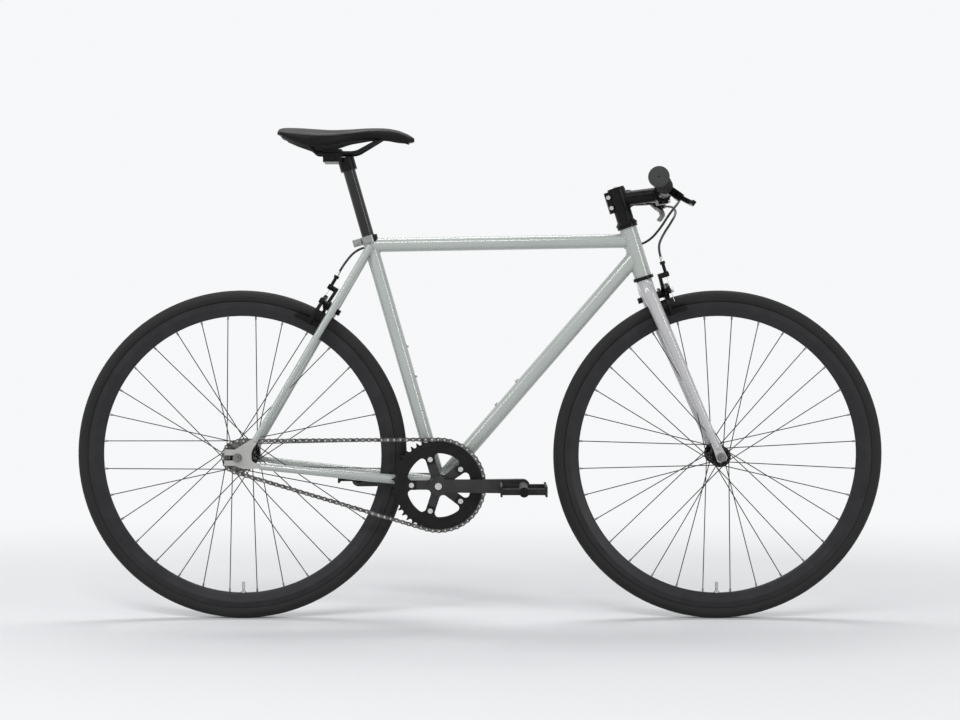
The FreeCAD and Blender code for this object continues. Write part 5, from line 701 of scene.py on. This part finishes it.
repaint("rear_pivot_arm", "silver", near_line(REAR_ANCHOR, REAR_ANCHOR_OUT, ANCHOR_ZONE))


# Stage: a pale floor that fades into the backdrop, soft studio light
BACKDROP = (0.93, 0.935, 0.945)
FLOOR_DARK = (0.80, 0.805, 0.82)
FLOOR_LIGHT = (0.83, 0.835, 0.85)
FLOOR_HALF = 30.0
FLOOR_SPECK = 60.0
FADE_SQUEEZE = (0.45, 1.0, 1.0)
FADE_START = 0.2
FADE_END = 1.5
AMBIENT = (0.95, 0.97, 1.0)
AMBIENT_STRENGTH = 0.32
# Name, place, target, size and power of each lamp
LAMPS = (
    ("key", (-0.9, -2.4, 3.0), (0.0, 0.0, 0.45), (2.6, 0.5), 46.0),
    ("fill", (2.4, -1.9, 1.3), (0.1, 0.0, 0.5), (0.35, 1.8), 18.0),
    ("top", (0.0, 0.9, 3.2), (0.0, 0.0, 0.4), (2.6, 0.8), 44.0),
    ("side", (-2.1, -1.4, 1.65), (-0.35, 0.0, 0.55), (0.4, 1.1), 12.0),
)


def pale_floor():
    mat, tree_nodes, links, shader = new_material("floor_pale")
    shader.inputs["Roughness"].default_value = 0.6
    shader.inputs["Specular IOR Level"].default_value = 0.2
    place = tree_nodes.new("ShaderNodeNewGeometry").outputs["Position"]
    ramp = tree_nodes.new("ShaderNodeValToRGB")
    ramp.color_ramp.elements[0].color = (*FLOOR_DARK, 1.0)
    ramp.color_ramp.elements[1].color = (*FLOOR_LIGHT, 1.0)
    links.new(noise_node(tree_nodes, links, place, FLOOR_SPECK), ramp.inputs["Fac"])
    links.new(ramp.outputs["Color"], shader.inputs["Base Color"])
    squeeze = tree_nodes.new("ShaderNodeVectorMath")
    squeeze.operation = "MULTIPLY"
    squeeze.inputs[1].default_value = FADE_SQUEEZE
    links.new(place, squeeze.inputs[0])
    length = tree_nodes.new("ShaderNodeVectorMath")
    length.operation = "LENGTH"
    links.new(squeeze.outputs["Vector"], length.inputs[0])
    fade = tree_nodes.new("ShaderNodeMapRange")
    fade.interpolation_type = "SMOOTHSTEP"
    fade.inputs["From Min"].default_value = FADE_START
    fade.inputs["From Max"].default_value = FADE_END
    links.new(length.outputs["Value"], fade.inputs["Value"])
    glow = tree_nodes.new("ShaderNodeEmission")
    glow.inputs["Color"].default_value = (*BACKDROP, 1.0)
    glow.inputs["Strength"].default_value = 1.0
    mix = tree_nodes.new("ShaderNodeMixShader")
    links.new(fade.outputs["Result"], mix.inputs["Fac"])
    links.new(shader.outputs["BSDF"], mix.inputs[1])
    links.new(glow.outputs["Emission"], mix.inputs[2])
    links.new(mix.outputs["Shader"], tree_nodes["Material Output"].inputs["Surface"])
    return mat


def build_floor():
    corners = [(-FLOOR_HALF, -FLOOR_HALF, 0), (FLOOR_HALF, -FLOOR_HALF, 0), (FLOOR_HALF, FLOOR_HALF, 0),
               (-FLOOR_HALF, FLOOR_HALF, 0)]
    mesh = bpy.data.meshes.new("studio_floor")
    mesh.from_pydata(corners, [], [(0, 1, 2, 3)])
    floor = bpy.data.objects.new("studio_floor", mesh)
    bpy.context.scene.collection.objects.link(floor)
    mesh.materials.append(pale_floor())


def build_world():
    """Soft light from all sides; the camera and clear reflections see the pale backdrop."""
    world = bpy.data.worlds.new("studio")
    bpy.context.scene.world = world
    world.use_nodes = True
    tree_nodes, links = world.node_tree.nodes, world.node_tree.links
    lit = tree_nodes["Background"]
    lit.inputs["Color"].default_value = (*AMBIENT, 1.0)
    lit.inputs["Strength"].default_value = AMBIENT_STRENGTH
    seen = tree_nodes.new("ShaderNodeBackground")
    seen.inputs["Color"].default_value = (*BACKDROP, 1.0)
    seen.inputs["Strength"].default_value = 1.0
    path = tree_nodes.new("ShaderNodeLightPath")
    sees_backdrop = path.outputs["Is Camera Ray"]
    for ray in ("Is Glossy Ray", "Is Transmission Ray"):
        either = tree_nodes.new("ShaderNodeMath")
        either.operation = "MAXIMUM"
        links.new(sees_backdrop, either.inputs[0])
        links.new(path.outputs[ray], either.inputs[1])
        sees_backdrop = either.outputs["Value"]
    mix = tree_nodes.new("ShaderNodeMixShader")
    links.new(sees_backdrop, mix.inputs["Fac"])
    links.new(lit.outputs["Background"], mix.inputs[1])
    links.new(seen.outputs["Background"], mix.inputs[2])
    links.new(mix.outputs["Shader"], tree_nodes["World Output"].inputs["Surface"])


def add_lamp(name, place, target, size, power):
    lamp = bpy.data.lights.new(name, "AREA")
    lamp.shape = "RECTANGLE"
    lamp.size, lamp.size_y = size
    lamp.energy = power
    obj = bpy.data.objects.new(name, lamp)
    obj.location = place
    obj.rotation_euler = (Vector(target) - Vector(place)).to_track_quat("-Z", "Y").to_euler()
    bpy.context.scene.collection.objects.link(obj)


build_floor()
build_world()
for lamp_values in LAMPS:
    add_lamp(*lamp_values)

# Camera at the photograph's angle
CAMERA_DISTANCE = 3.0
CAMERA_HEIGHT = 0.644
CAMERA_PITCH = 2.13
FOCAL_PIXELS = 1463.0
PHOTO_WIDTH = 960.0
SENSOR = 36.0

camera = bpy.data.cameras.new("camera")
camera.sensor_width = SENSOR
camera.sensor_fit = "HORIZONTAL"
camera.lens = FOCAL_PIXELS / PHOTO_WIDTH * SENSOR
camera_object = bpy.data.objects.new("camera", camera)
camera_object.location = (0.0, -CAMERA_DISTANCE, CAMERA_HEIGHT)
camera_object.rotation_euler = (math.radians(90 - CAMERA_PITCH), 0, 0)
bpy.context.scene.collection.objects.link(camera_object)
bpy.context.scene.camera = camera_object
bpy.context.scene.view_settings.view_transform = "Standard"
